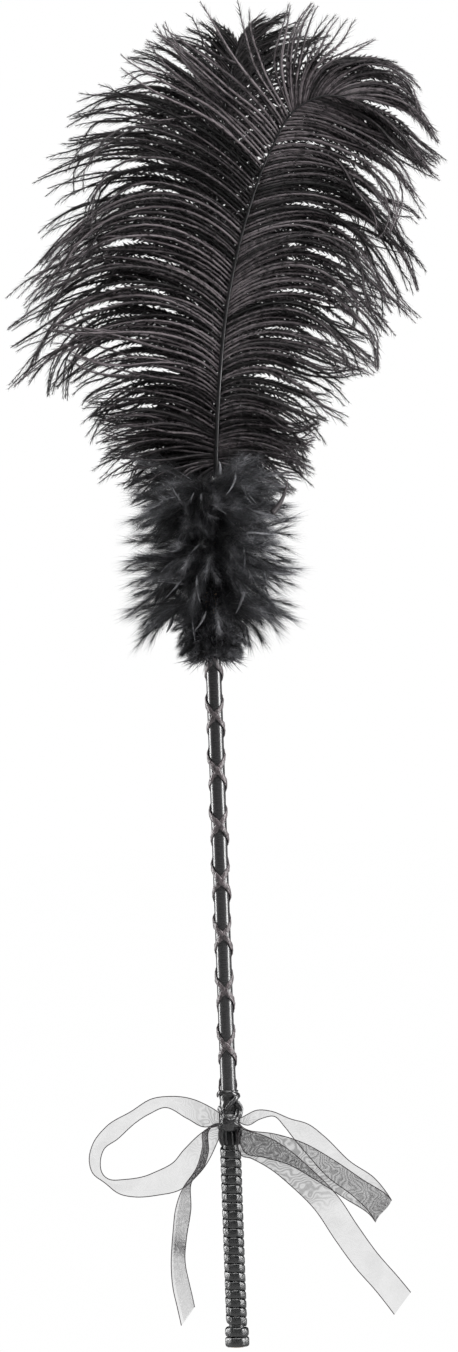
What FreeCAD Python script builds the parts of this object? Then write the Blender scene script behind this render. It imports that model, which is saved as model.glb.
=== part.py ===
import FreeCAD, Part
import os
import math
import Sketcher
from FreeCAD import Vector

# Feather duster: two ostrich plumes and a marabou boa on a satin-covered wooden rod,
# with a cord-wound grip and an organza bow.
# The rod runs up +Z from the centre of its butt end. The plumes fan out in the XZ plane
# and the front of the duster faces -Y. All sizes are in millimetres.

DIMENSIONS = {
    # wooden rod and the satin ribbon wound round it
    "rod_radius": 3.0,
    "rod_top": 360.0,
    "glue_height": 3.0,
    "sleeve_inner": 3.03,
    "sleeve_outer": 3.45,
    "sleeve_bottom": 90.3,
    "sleeve_top": 328.0,
    # criss-cross lacing, one strip passing over the other
    "lace_pitch": 24.6,
    "lace_bottom": 115.95,
    "lace_turns": 7.75,
    "lace_width": 1.5,
    "lace_thickness": 0.45,
    "under_lace_inner": 3.5,
    "over_lace_inner": 4.0,
    # grip
    "grip_inner": 3.06,
    "grip_shoulder": 3.7,
    "grip_outer": 4.6,
    "grip_bottom": 9.2,
    "grip_pitch": 3.92,
    "grip_turn_height": 3.8,
    "grip_turns": 19.7,
    "butt_gap": 0.3,
    "butt_turn_height": 4.4,
    "butt_shoulder": 4.5,
    "butt_outer": 5.7,
    "whipping_bottom": 90.4,
    "whipping_top": 97.9,
    "whipping_outer": 4.75,
    "top_wrap_bottom": 98.0,
    "top_wrap_top": 114.1,
    "top_wrap_outer": 4.25,
    "rim_radius": 0.42,
    "rim_height": 114.55,
    # bow
    "band_bottom": 97.9,
    "band_top": 105.4,
    "band_inner": 4.3,
    "band_outer": 4.7,
    "knot_width": 11.8,
    "knot_depth": 7.2,
    "knot_height": 12.0,
    "knot_centre": 101.0,
    "ribbon_thickness": 0.5,
    # quill stems, bound to the sides of the rod
    "stem_radius": 1.25,
    "stem_offset": 4.6,
    "stem_bottom": 331.0,
    "stem_bend": 362.0,
    "stem_top": 386.8,
    "binding_bottom": 338.0,
    "binding_top": 357.0,
    "binding_inner": 3.1,
    "binding_outer": 3.5,
    "binding_centre": 2.9,
    # boa
    "boa_cord_radius": 0.5,
    "boa_cord_offset": 7.3,
    "boa_pitch": 24.0,
    "boa_bottom": 312.0,
    "boa_turns": 3.0,
    "down_inner": 8.4,
    "down_gap": 0.4,
    "down_bottom": 307.0,
    "down_lower_top": 335.0,
    "down_middle_top": 364.6,
    "down_top": 388.0,
    "down_lower_outer": 29.0,
    "down_middle_outer": 37.0,
    "down_upper_outer": 38.0,
    # plumes
    "rachis_bottom": 388.9,
    "rachis_root_radius": 1.15,
    "rachis_tip_radius": 0.35,
    "rachis_gap": 1.5,
    "vane_bottom": 398.0,
    "vane_thickness": 12.0,
    "plume_spacing": 9.0,
}

# Centre lines of the two rachises, root to tip, in the XZ plane.
FRONT_RACHIS = [(3.9, 388.9), (6.8, 427.0), (12.4, 468.0), (22.6, 506.0),
                (34.0, 534.0), (45.4, 551.0), (58.6, 556.4), (67.0, 555.6)]
BACK_RACHIS = [(0.9, 388.9), (2.6, 427.0), (6.0, 480.0), (12.3, 544.0), (23.0, 594.0)]

# Outlines of the four vanes: each row is one arc, as (point on the arc, end of the arc).
FRONT_LEFT = [((-16, 397), (-32, 402)), ((-42, 414), (-48, 428)), ((-68, 432), (-88, 440)),
              ((-86, 465), (-72, 492)), ((-62, 530), (-44, 562)), ((-20, 585), (12, 594)),
              ((42, 591), (66, 574))]
FRONT_RIGHT = [((26, 396), (46, 401)), ((62, 411), (76, 424)), ((90, 442), (98, 466)),
               ((108, 494), (112, 523)), ((100, 546), (78, 556))]
BACK_LEFT = [((-16, 397), (-30, 402)), ((-38, 414), (-46, 430)), ((-62, 436), (-78, 446)),
             ((-76, 470), (-68, 500)), ((-56, 545), (-32, 576)), ((-18, 590), (-3, 598))]
BACK_RIGHT = [((24, 396), (42, 401)), ((60, 414), (78, 434)), ((96, 480), (104, 520)),
              ((94, 554), (70, 578)), ((56, 590), (40, 597))]

# Ribbon sections, in order along the ribbon. Each is the two edges (x, z) of the ribbon,
# the depth y of its middle, and how far the second edge lies behind the first.
LEFT_LOOP = [
    ((-3.2, 103.8), (-4.4, 100.6), -6.2, 1.0),
    ((-5.9, 106.5), (-10.8, 98.9), -4.2, 6.0), ((-15.3, 111.6), (-18.7, 102.8), -3.5, 7.0),
    ((-25.8, 113.5), (-28.5, 108.0), -2.5, 10.0), ((-34.3, 112.6), (-35.4, 105.5), -1.5, 9.0),
    ((-43.8, 107.2), (-42.2, 101.4), 0.0, 10.0), ((-54.9, 100.9), (-50.4, 94.4), 2.0, 9.0),
    ((-61.4, 93.1), (-56.8, 89.8), 2.5, 10.5), ((-63.2, 86.0), (-58.5, 84.3), 1.5, 11.0),
    ((-61.8, 80.4), (-58.0, 79.8), 0.0, 11.5), ((-56.5, 76.0), (-54.9, 76.7), -1.5, 11.5),
    ((-50.2, 70.9), (-47.2, 76.5), -2.5, 10.0), ((-43.0, 69.2), (-40.5, 77.3), -3.0, 8.5),
    ((-32.4, 69.7), (-33.7, 79.6), -3.2, 6.5), ((-22.9, 71.6), (-26.1, 83.4), -3.2, 1.5),
    ((-13.8, 79.0), (-20.6, 89.4), -3.2, 0.5), ((-6.2, 91.4), (-10.4, 97.6), -3.6, 6.0),
    ((-3.8, 97.4), (-4.6, 99.8), -6.0, 1.0)]
LEFT_TAIL = [
    ((-4.6, 99.6), (-3.6, 100.5), -8.2, 1.6), ((-9.0, 98.9), (-7.4, 99.8), -9.2, 2.4),
    ((-11.4, 97.9), (-9.2, 98.0), -9.8, 3.0), ((-12.4, 90.8), (-9.8, 88.7), -10.2, 3.5),
    ((-15.4, 81.6), (-12.4, 81.2), -10.0, 4.0), ((-21.5, 73.2), (-18.0, 74.5), -9.5, 6.0),
    ((-25.0, 64.9), (-18.6, 62.9), -9.0, 9.0), ((-26.7, 54.7), (-21.0, 50.0), -8.5, 9.0),
    ((-28.2, 36.9), (-21.9, 37.5), -8.0, 9.5), ((-27.6, 27.4), (-20.4, 29.0), -8.0, 8.5),
    ((-26.1, 19.7), (-19.3, 23.6), -8.5, 8.0), ((-24.6, 11.7), (-18.5, 19.0), -9.0, 7.0)]
RIGHT_LOOP = [
    ((3.4, 103.4), (4.4, 100.8), -6.4, 1.0),
    ((5.2, 103.0), (8.2, 99.0), -4.5, 8.0), ((12.2, 106.0), (13.6, 101.4), -3.5, 9.5),
    ((18.6, 105.4), (19.6, 102.4), -2.5, 11.5), ((27.2, 101.6), (24.6, 97.4), -1.8, 11.0),
    ((34.6, 99.0), (28.8, 91.6), -1.2, 7.5), ((41.8, 93.2), (34.6, 84.4), -0.8, 4.0),
    ((53.0, 81.4), (43.6, 74.0), -0.6, 1.0), ((63.8, 73.4), (54.8, 65.0), -0.8, 0.5),
    ((70.1, 65.0), (62.5, 56.0), -1.8, 0.5), ((71.1, 63.3), (63.6, 53.8), -3.2, 0.5),
    ((69.9, 65.0), (62.3, 56.0), -4.6, 0.5), ((58.2, 73.4), (49.8, 65.4), -5.2, 0.5),
    ((45.6, 82.6), (36.6, 74.4), -5.4, 0.5), ((32.2, 90.8), (25.4, 81.2), -5.6, 2.5),
    ((19.6, 95.2), (14.8, 84.6), -5.6, 3.5), ((8.4, 97.2), (5.9, 87.6), -5.4, 5.0),
    ((4.6, 100.2), (3.8, 97.6), -6.2, 1.0)]
RIGHT_TAIL = [
    ((4.4, 99.8), (3.6, 97.0), -8.0, 0.6),
    ((7.4, 97.4), (4.4, 86.6), -9.2, 4.0), ((15.4, 94.6), (9.2, 84.6), -8.8, 2.0),
    ((25.4, 88.4), (17.8, 79.4), -8.4, 0.5), ((34.8, 79.8), (26.4, 71.8), -8.2, 0.5),
    ((46.8, 66.8), (36.8, 60.6), -8.0, 0.5), ((55.2, 53.4), (45.0, 47.4), -8.2, 1.5),
    ((63.6, 40.8), (53.6, 34.6), -8.6, 2.5), ((73.0, 29.2), (63.4, 22.6), -9.0, 2.0),
    ((78.0, 22.6), (70.4, 12.9), -9.2, 1.0)]

doc = FreeCAD.newDocument("feather_duster")
sheet = doc.addObject("Spreadsheet::Sheet", "sizes")
for row, (alias, number) in enumerate(DIMENSIONS.items(), start=1):
    sheet.set(f"A{row}", alias)
    sheet.set(f"B{row}", str(number))
    sheet.setAlias(f"B{row}", alias)
doc.recompute()

nodes = []


def size(alias):
    return float(getattr(sheet, alias))


def value(text):
    return float(sheet.evalExpression(text.replace("sizes.", "")))


def register(node, label):
    node.Label = label
    nodes.append(node)
    return node


def new_body(label):
    return register(doc.addObject("PartDesign::Body", label), label)


def new_sketch(body, role):
    sketch = body.newObject("Sketcher::SketchObject", body.Name + "_sketch")
    plane = next(item for item in body.Origin.OriginFeatures if item.Role == role)
    sketch.AttachmentSupport = [(plane, "")]
    sketch.MapMode = "FlatFace"
    return sketch


def pin(sketch, edge, across, up):
    """Hold the start of a sketch edge at a place given by two expressions."""
    for kind, axis, text in (("DistanceX", -2, across), ("DistanceY", -1, up)):
        number = value(text)
        if abs(number) < 1e-9:
            sketch.addConstraint(Sketcher.Constraint("PointOnObject", edge, 1, axis))
        else:
            index = sketch.addConstraint(Sketcher.Constraint(kind, -1, 1, edge, 1, number))
            sketch.setExpression(f"Constraints[{index}]", text)


def bulged_edge(start, end, radius):
    """An arc that turns anticlockwise from start to end, with the outline on its left."""
    chord = end - start
    middle = start + chord * 0.5
    reach = math.sqrt(radius ** 2 - (chord.Length / 2) ** 2)
    centre = middle + Vector(-chord.y, chord.x, 0).normalize() * reach
    first = math.atan2(start.y - centre.y, start.x - centre.x)
    last = math.atan2(end.y - centre.y, end.x - centre.x)
    return Part.ArcOfCircle(Part.Circle(centre, Vector(0, 0, 1), radius), first, last)


def draw_profile(sketch, corners, bulges=None):
    """A closed outline through corners given as expressions; bulges maps an edge to its radius."""
    bulges = bulges or {}
    places = [Vector(value(across), value(up), 0) for across, up in corners]
    for edge, start in enumerate(places):
        end = places[(edge + 1) % len(places)]
        if edge in bulges:
            sketch.addGeometry(bulged_edge(start, end, value(bulges[edge])))
        else:
            sketch.addGeometry(Part.LineSegment(start, end))
    for edge, (across, up) in enumerate(corners):
        following = (edge + 1) % len(corners)
        sketch.addConstraint(Sketcher.Constraint("Coincident", edge, 2, following, 1))
        pin(sketch, edge, across, up)
    for edge, radius in bulges.items():
        index = sketch.addConstraint(Sketcher.Constraint("Radius", edge, value(radius)))
        sketch.setExpression(f"Constraints[{index}]", radius)


def turned_piece(label, corners, bulges=None):
    """A piece turned about the rod's axis from a profile of (radius, height) corners."""
    body = new_body(label)
    sketch = new_sketch(body, "XZ_Plane")
    draw_profile(sketch, corners, bulges)
    turning = body.newObject("PartDesign::Revolution", label + "_turning")
    turning.Profile = sketch
    turning.ReferenceAxis = (sketch, ["V_Axis"])
    turning.Angle = 360.0
    return body


def wound_piece(label, corners, bulges, pitch, turns, left_handed):
    """A strip wound round the rod's axis from a profile of (radius, height) corners."""
    body = new_body(label)
    sketch = new_sketch(body, "XZ_Plane")
    draw_profile(sketch, corners, bulges)
    winding = body.newObject("PartDesign::AdditiveHelix", label + "_winding")
    winding.Profile = sketch
    winding.ReferenceAxis = (sketch, ["V_Axis"])
    winding.Mode = "pitch-turns-angle"
    winding.setExpression("Pitch", pitch)
    winding.setExpression("Turns", turns)
    winding.LeftHanded = left_handed
    return body


def tube(label, inner, outer, bottom, top):
    """A plain round sleeve: the outer cylinder less the inner one."""
    walls = []
    for role, radius in (("outer", outer), ("inner", inner)):
        wall = doc.addObject("Part::Cylinder", f"{label}_{role}")
        wall.setExpression("Radius", radius)
        wall.setExpression("Height", f"{top} - {bottom}")
        wall.setExpression("Placement.Base.z", bottom)
        walls.append(wall)
    sleeve = doc.addObject("Part::Cut", label)
    sleeve.Base, sleeve.Tool = walls
    return register(sleeve, label)


# ---- rod, sleeve and glue -------------------------------------------------

rod = register(doc.addObject("Part::Cylinder", "core_rod"), "core_rod")
rod.setExpression("Radius", "sizes.rod_radius")
rod.setExpression("Height", "sizes.rod_top")

turned_piece("glue_bead",
             [("0", "sizes.rod_top"), ("sizes.rod_radius", "sizes.rod_top"),
              ("0", "sizes.rod_top + sizes.glue_height")],
             {1: "(sizes.rod_radius ^ 2 + sizes.glue_height ^ 2) / (2 * sizes.glue_height)"})

tube("shaft_sleeve", "sizes.sleeve_inner", "sizes.sleeve_outer",
     "sizes.sleeve_bottom", "sizes.sleeve_top")

# ---- criss-cross lacing ---------------------------------------------------

for label, inner, side, left_handed in (("lace_under", "sizes.under_lace_inner", "", False),
                                        ("lace_over", "sizes.over_lace_inner", "-", True)):
    near = f"{side}({inner})"
    far = f"{side}({inner} + sizes.lace_thickness)"
    low = "sizes.lace_bottom - sizes.lace_width / 2"
    high = "sizes.lace_bottom + sizes.lace_width / 2"
    profile = [(near, low), (far, low), (far, high), (near, high)]
    if left_handed:
        profile.reverse()
    wound_piece(label, profile, {}, "sizes.lace_pitch", "sizes.lace_turns", left_handed)

# ---- grip -----------------------------------------------------------------

wound_piece("grip_cord",
            [("sizes.grip_inner", "sizes.grip_bottom"),
             ("sizes.grip_shoulder", "sizes.grip_bottom"),
             ("sizes.grip_shoulder", "sizes.grip_bottom + sizes.grip_turn_height"),
             ("sizes.grip_inner", "sizes.grip_bottom + sizes.grip_turn_height")],
            {1: "sizes.grip_turn_height * 0.64"},
            "sizes.grip_pitch", "sizes.grip_turns", True)

butt_base = "sizes.butt_gap"
butt_middle = "sizes.butt_gap + sizes.butt_turn_height"
butt_top = "sizes.butt_gap + sizes.butt_turn_height * 2"
turned_piece("butt_wraps",
             [("sizes.grip_inner", butt_base), ("sizes.butt_shoulder", butt_base),
              ("sizes.butt_shoulder", butt_middle), ("sizes.butt_shoulder", butt_top),
              ("sizes.grip_inner", butt_top)],
             {1: "sizes.butt_turn_height * 0.61", 2: "sizes.butt_turn_height * 0.61"})

turned_piece("grip_whipping",
             [("sizes.under_lace_inner", "sizes.whipping_bottom"),
              ("sizes.top_wrap_outer", "sizes.whipping_bottom"),
              ("sizes.top_wrap_outer", "sizes.whipping_top - 0.2"),
              ("sizes.under_lace_inner", "sizes.whipping_top - 0.2")],
             {1: "(sizes.whipping_top - sizes.whipping_bottom) * 1.9"})

tube("top_wrap", "sizes.under_lace_inner", "sizes.top_wrap_outer",
     "sizes.top_wrap_bottom", "sizes.top_wrap_top")

rim = register(doc.addObject("Part::Torus", "rim_ring"), "rim_ring")
rim.setExpression("Radius1", "sizes.under_lace_inner + sizes.rim_radius")
rim.setExpression("Radius2", "sizes.rim_radius")
rim.setExpression("Placement.Base.z", "sizes.rim_height")

# ---- bow ------------------------------------------------------------------

tube("bow_band", "sizes.band_inner", "sizes.band_outer",
     "sizes.top_wrap_bottom + 0.2", "sizes.band_top")

knot_body = doc.addObject("Part::Ellipsoid", "knot_body")
knot_body.setExpression("Radius1", "sizes.knot_height / 2")
knot_body.setExpression("Radius2", "sizes.knot_width / 2")
knot_body.setExpression("Radius3", "sizes.knot_depth / 2")
knot_body.setExpression("Placement.Base.y", "-(sizes.band_outer + sizes.knot_depth * 0.28)")
knot_body.setExpression("Placement.Base.z", "sizes.knot_centre")
knot_seat = doc.addObject("Part::Cylinder", "knot_seat")
knot_seat.setExpression("Radius", "sizes.whipping_outer + 0.1")
knot_seat.setExpression("Height", "sizes.knot_height * 2")
knot_seat.setExpression("Placement.Base.z", "sizes.knot_centre - sizes.knot_height")
knot = doc.addObject("Part::Cut", "bow_knot")
knot.Base, knot.Tool = knot_body, knot_seat
register(knot, "bow_knot")


def edges_of(section):
    (first_x, first_z), (second_x, second_z), depth, lean = section
    return (Vector(first_x, depth - lean / 2, first_z),
            Vector(second_x, depth + lean / 2, second_z))


def ribbon(label, sections):
    """A thin ribbon through its sections in order, each cut square to the way the ribbon runs."""
    edges = [edges_of(section) for section in sections]
    middles = [(first + second) * 0.5 for first, second in edges]
    half_thickness = size("ribbon_thickness") / 2
    last = len(sections) - 1
    cuts = []
    for place, (first, second) in enumerate(edges):
        along = middles[min(place + 1, last)] - middles[max(place - 1, 0)]
        half = along.cross(second - first).normalize() * half_thickness
        cuts.append([first - half, second - half, second + half, first + half])
    faces = [Part.Face(Part.makePolygon(cut + cut[:1])) for cut in (cuts[0], cuts[-1])]
    for here, there in zip(cuts, cuts[1:]):
        for corner in range(4):
            following = (corner + 1) % 4
            faces.append(Part.makeRuledSurface(Part.makeLine(here[corner], here[following]),
                                               Part.makeLine(there[corner], there[following]), 1))
    shell = Part.makeShell(faces)
    shell.sewShape()
    solid = Part.makeSolid(shell)
    if solid.Volume < 0:
        solid.reverse()
    strip = doc.addObject("Part::Feature", label)
    strip.Shape = solid
    register(strip, label)


ribbon("bow_loop_left", LEFT_LOOP)
ribbon("bow_tail_left", LEFT_TAIL)
ribbon("bow_loop_right", RIGHT_LOOP)
ribbon("bow_tail_right", RIGHT_TAIL)

# ---- quill stems and their binding ---------------------------------------


def tapered_rod(label, places, radii):
    """A round tapering rod through the given places, as a loft of circles."""
    circles = []
    for step, place in enumerate(places):
        before = places[max(step - 1, 0)]
        after = places[min(step + 1, len(places) - 1)]
        circle = doc.addObject("Part::Circle", f"{label}_ring_{step}")
        circle.Radius = radii[step]
        circle.Placement = FreeCAD.Placement(place, FreeCAD.Rotation(Vector(0, 0, 1), after - before))
        circles.append(circle)
    loft = doc.addObject("Part::Loft", label)
    loft.Sections = circles
    loft.Solid = True
    loft.Ruled = True
    return register(loft, label)


for plume, side, root_x in (("front", -1, FRONT_RACHIS[0][0]), ("back", 1, BACK_RACHIS[0][0])):
    offset = side * size("stem_offset")
    bend = size("stem_bend")
    top = size("stem_top")
    places = [Vector(0, offset, size("stem_bottom")),
              Vector(0, offset, size("stem_bottom") + 5),
              Vector(0, offset, bend - 4),
              Vector(root_x * 0.10, offset * 0.92, bend + 2),
              Vector(root_x * 0.50, offset * 0.50, (bend + top) / 2),
              Vector(root_x * 0.90, offset * 0.08, top - 4),
              Vector(root_x, 0, top)]
    full = size("stem_radius")
    tapered_rod(f"{plume}_quill_stem", places,
                [full * 0.4] + [full] * 4 + [full * 0.96, full * 0.92])

binding = new_body("quill_binding")
binding_sketch = new_sketch(binding, "XY_Plane")
for wall in ("sizes.binding_outer", "sizes.binding_inner"):
    first = len(binding_sketch.Geometry)
    radius = value(wall)
    reach = size("binding_centre")
    for side, start in ((1, 0.0), (-1, math.pi)):
        circle = Part.Circle(Vector(0, side * reach, 0), Vector(0, 0, 1), radius)
        binding_sketch.addGeometry(Part.ArcOfCircle(circle, start, start + math.pi))
    binding_sketch.addGeometry(Part.LineSegment(Vector(-radius, reach, 0), Vector(-radius, -reach, 0)))
    binding_sketch.addGeometry(Part.LineSegment(Vector(radius, -reach, 0), Vector(radius, reach, 0)))
    upper, lower, left, right = range(first, first + 4)
    for one, two in ((upper, left), (left, lower), (lower, right), (right, upper)):
        binding_sketch.addConstraint(Sketcher.Constraint("Tangent", one, 2, two, 1))
    binding_sketch.addConstraint(Sketcher.Constraint("Vertical", left))
    for arc, sign in ((upper, ""), (lower, "-")):
        binding_sketch.addConstraint(Sketcher.Constraint("PointOnObject", arc, 3, -2))
        place = f"{sign}sizes.binding_centre"
        index = binding_sketch.addConstraint(
            Sketcher.Constraint("DistanceY", -1, 1, arc, 3, value(place)))
        binding_sketch.setExpression(f"Constraints[{index}]", place)
    index = binding_sketch.addConstraint(Sketcher.Constraint("Radius", upper, radius))
    binding_sketch.setExpression(f"Constraints[{index}]", wall)
binding_sketch.AttachmentOffset = FreeCAD.Placement(
    Vector(0, 0, size("binding_bottom")), FreeCAD.Rotation())
binding_sketch.setExpression("AttachmentOffset.Base.z", "sizes.binding_bottom")
binding_pad = binding.newObject("PartDesign::Pad", "quill_binding_turns")
binding_pad.Profile = binding_sketch
binding_pad.setExpression("Length", "sizes.binding_top - sizes.binding_bottom")

# ---- boa ------------------------------------------------------------------

cord_inner = "sizes.boa_cord_offset - sizes.boa_cord_radius"
cord_outer = "sizes.boa_cord_offset + sizes.boa_cord_radius"
cord_low = "sizes.boa_bottom - sizes.boa_cord_radius"
cord_high = "sizes.boa_bottom + sizes.boa_cord_radius"
wound_piece("boa_cord",
            [(cord_inner, cord_low), (cord_outer, cord_low),
             (cord_outer, cord_high), (cord_inner, cord_high)],
            {}, "sizes.boa_pitch", "sizes.boa_turns", False)

for name, bottom, top, outer in (
        ("lower", "sizes.down_bottom", "sizes.down_lower_top", "sizes.down_lower_outer"),
        ("middle", "sizes.down_lower_top", "sizes.down_middle_top", "sizes.down_middle_outer"),
        ("upper", "sizes.down_middle_top", "sizes.down_top", "sizes.down_upper_outer")):
    tall = f"({top} - {bottom} - sizes.down_gap)"
    turned_piece(f"down_turn_{name}",
                 [("sizes.down_inner", bottom),
                  (f"{outer} - {tall} * 0.3", bottom),
                  (f"{outer} - {tall} * 0.3", f"{bottom} + {tall}"),
                  ("sizes.down_inner", f"{bottom} + {tall}")],
                 {1: f"{tall} * 0.567"})

accent = doc.addObject("Part::Cone", "accent_feather")
accent.Radius1, accent.Radius2 = 1.0, 0.2
accent_root = Vector(28.4, -29.6, 371.0)
accent_tip = Vector(36.1, -15.0, 387.4)
accent.Height = (accent_tip - accent_root).Length
accent.Placement = FreeCAD.Placement(
    accent_root, FreeCAD.Rotation(Vector(0, 0, 1), accent_tip - accent_root))
register(accent, "accent_feather")

# ---- plumes ---------------------------------------------------------------


def curve_through(points):
    curve = Part.BSplineCurve()
    curve.interpolate(points)
    return curve


def rachis_places(line, depth):
    """Places along a rachis: it starts between the stems and leans out to the depth of its vanes."""
    curve = curve_through([Vector(across, 0, up) for across, up in line])
    steps = 18
    low, high = curve.FirstParameter, curve.LastParameter
    places = []
    for step in range(steps + 1):
        place = curve.value(low + (high - low) * step / steps)
        lean = min(1.0, (place.z - line[0][1]) / 60.0)
        place.y = depth * lean * lean * (3 - 2 * lean)
        places.append(place)
    return places


def vane_side(line, side):
    """The edge of a vane that runs beside its rachis, from the lowest barb to the tip."""
    bottom = size("vane_bottom")
    curve = curve_through([Vector(across, up, 0) for across, up in line])
    gap = size("rachis_gap")
    edge = []
    steps = 12
    low, high = curve.FirstParameter, curve.LastParameter
    first = curve.parameter(Vector(line[0][0], bottom, 0))
    for step in range(steps + 1):
        at = first + (high - first) * step / steps
        along = curve.tangent(at)[0]
        edge.append(curve.value(at) + Vector(-along.y, along.x, 0) * gap * side)
    return edge


def vane(label, line, side, depth, arcs):
    """One side of a plume as a plain thick leaf."""
    body = new_body(label)
    sketch = new_sketch(body, "XZ_Plane")
    edge = vane_side(line, side)
    sketch.addGeometry(curve_through(edge))
    start = edge[0]
    for through, end in arcs:
        sketch.addGeometry(Part.Arc(start, Vector(*through), Vector(*end)))
        start = Vector(*end)
    sketch.addGeometry(Part.LineSegment(start, edge[-1]))
    sketch.setExpression("AttachmentOffset.Base.z", f"{-depth} * sizes.plume_spacing")
    pad = body.newObject("PartDesign::Pad", label + "_leaf")
    pad.Profile = sketch
    pad.setExpression("Length", "sizes.vane_thickness")
    pad.Midplane = True


for plume, line, depth, left, right in (("front", FRONT_RACHIS, -1, FRONT_LEFT, FRONT_RIGHT),
                                        ("back", BACK_RACHIS, 1, BACK_LEFT, BACK_RIGHT)):
    places = rachis_places(line, depth * size("plume_spacing"))
    root = size("rachis_root_radius")
    tip = size("rachis_tip_radius")
    last = len(places) - 1
    radii = [root + (tip - root) * step / last for step in range(last + 1)]
    tapered_rod(f"{plume}_rachis", places, radii)
    vane(f"{plume}_vane_left", line, 1, depth, left)
    vane(f"{plume}_vane_right", line, -1, depth, right)

# ---- check and write ------------------------------------------------------

doc.recompute()
for item in doc.Objects:
    if "Invalid" in item.State or "Error" in item.State:
        raise RuntimeError(f"{item.Name} did not rebuild: {item.State}")
os.makedirs("parts", exist_ok=True)
for node in nodes:
    if node.Shape.isNull() or not node.Shape.isValid():
        raise RuntimeError(f"{node.Label} has no valid shape")
    node.Shape.exportStep(f"parts/{node.Label}.step")
    print(f"{node.Label:20s} {len(node.Shape.Solids)} solid(s) {node.Shape.Volume:10.1f} mm3")
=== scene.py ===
import math

import bpy
import numpy as np
from bpy.props import (FloatProperty, FloatVectorProperty, IntProperty, PointerProperty)
from mathutils import Matrix, Vector


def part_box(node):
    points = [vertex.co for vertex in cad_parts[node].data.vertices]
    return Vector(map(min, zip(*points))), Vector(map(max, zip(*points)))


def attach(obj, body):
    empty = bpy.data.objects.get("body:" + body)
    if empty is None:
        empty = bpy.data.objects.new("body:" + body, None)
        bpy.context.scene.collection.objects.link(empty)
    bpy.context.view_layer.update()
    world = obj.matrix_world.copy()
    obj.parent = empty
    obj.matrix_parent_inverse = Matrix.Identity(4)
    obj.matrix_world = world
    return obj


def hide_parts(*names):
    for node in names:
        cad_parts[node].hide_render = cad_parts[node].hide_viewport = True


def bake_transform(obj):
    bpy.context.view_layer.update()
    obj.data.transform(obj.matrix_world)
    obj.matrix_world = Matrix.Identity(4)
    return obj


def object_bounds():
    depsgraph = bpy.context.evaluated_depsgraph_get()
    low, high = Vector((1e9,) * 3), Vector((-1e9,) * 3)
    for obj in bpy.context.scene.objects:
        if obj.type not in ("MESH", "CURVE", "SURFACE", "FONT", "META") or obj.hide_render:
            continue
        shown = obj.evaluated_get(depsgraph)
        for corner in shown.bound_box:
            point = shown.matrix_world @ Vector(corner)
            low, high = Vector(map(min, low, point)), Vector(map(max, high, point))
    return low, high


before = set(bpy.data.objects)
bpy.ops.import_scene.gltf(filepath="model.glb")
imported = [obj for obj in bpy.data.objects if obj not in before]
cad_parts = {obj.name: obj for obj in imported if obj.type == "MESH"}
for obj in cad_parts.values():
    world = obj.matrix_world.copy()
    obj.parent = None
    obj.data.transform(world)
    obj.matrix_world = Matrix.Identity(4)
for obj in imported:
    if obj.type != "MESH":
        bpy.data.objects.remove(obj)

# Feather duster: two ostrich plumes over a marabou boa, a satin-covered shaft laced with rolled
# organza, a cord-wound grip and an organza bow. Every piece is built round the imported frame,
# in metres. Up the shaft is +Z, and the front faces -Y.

bl_info = {
    "name": "Feather Duster",
    "version": (1, 0, 0),
    "blender": (4, 5, 0),
    "location": "View3D > Sidebar > Duster",
    "description": "Builds the plumes, boa, shaft, grip and bow of a feather duster",
    "category": "Add Mesh",
}

MM = 0.001
CAD_BOX = [list(corner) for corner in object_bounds()]
FLOOR_DROP = 0.004      # the floor lies this far under the butt
SHAFT_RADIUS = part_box("shaft_sleeve")[1].x
COLLAR_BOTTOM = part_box("down_turn_lower")[0].z
COLLAR_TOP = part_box("down_turn_upper")[1].z
LACE_PITCH = 0.0246     # rise of a lace in one turn
BOA_CORE = 0.0075       # where the down is tied, from the middle of the shaft


# ---- settings a user would change ------------------------------------------


class DusterPlumeSettings(bpy.types.PropertyGroup):
    """Sizes of the two ostrich plumes."""

    barbs: IntProperty(name="Barbs per side", description="Barbs on each side of a plume",
                       default=145, min=20, max=400)
    barbule_length: FloatProperty(name="Barbule length", description="Longest barbules",
                                  default=0.0052, unit="LENGTH")
    barbule_spacing: FloatProperty(name="Barbule spacing", description="Gap along a barb",
                                   default=0.00125, unit="LENGTH")
    barbule_width: FloatProperty(name="Barbule width", description="Width at the root",
                                 default=0.00024, unit="LENGTH")
    web_reach: FloatProperty(name="Web reach", description="Reach of the close dark barbules",
                             default=0.0030, unit="LENGTH")
    barb_width: FloatProperty(name="Barb width", description="Width of a barb's stem",
                              default=0.0011, unit="LENGTH")
    shaft_width: FloatProperty(name="Plume shaft", description="Width at its root",
                               default=0.0021, unit="LENGTH")
    seed: IntProperty(name="Seed", description="Variation of the barbs", default=11)


class DusterBoaSettings(bpy.types.PropertyGroup):
    """Sizes of the marabou boa."""

    tufts: IntProperty(name="Tufts per turn", description="Small down feathers in a turn",
                       default=190, min=10, max=600)
    fluff_length: FloatProperty(name="Fluff length", description="Length of the down barbs",
                                default=0.0165, unit="LENGTH")
    fluff_width: FloatProperty(name="Fluff width", description="Width of the down barbs",
                               default=0.00013, unit="LENGTH")
    quills: IntProperty(name="Bare quills", description="Pale quills that show in a turn",
                        default=40, min=0, max=200)
    hairs: IntProperty(name="Down barbs", description="Fine barbs on a down feather",
                       default=165, min=10, max=400)
    seed: IntProperty(name="Seed", description="Variation of the down", default=5)


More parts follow.
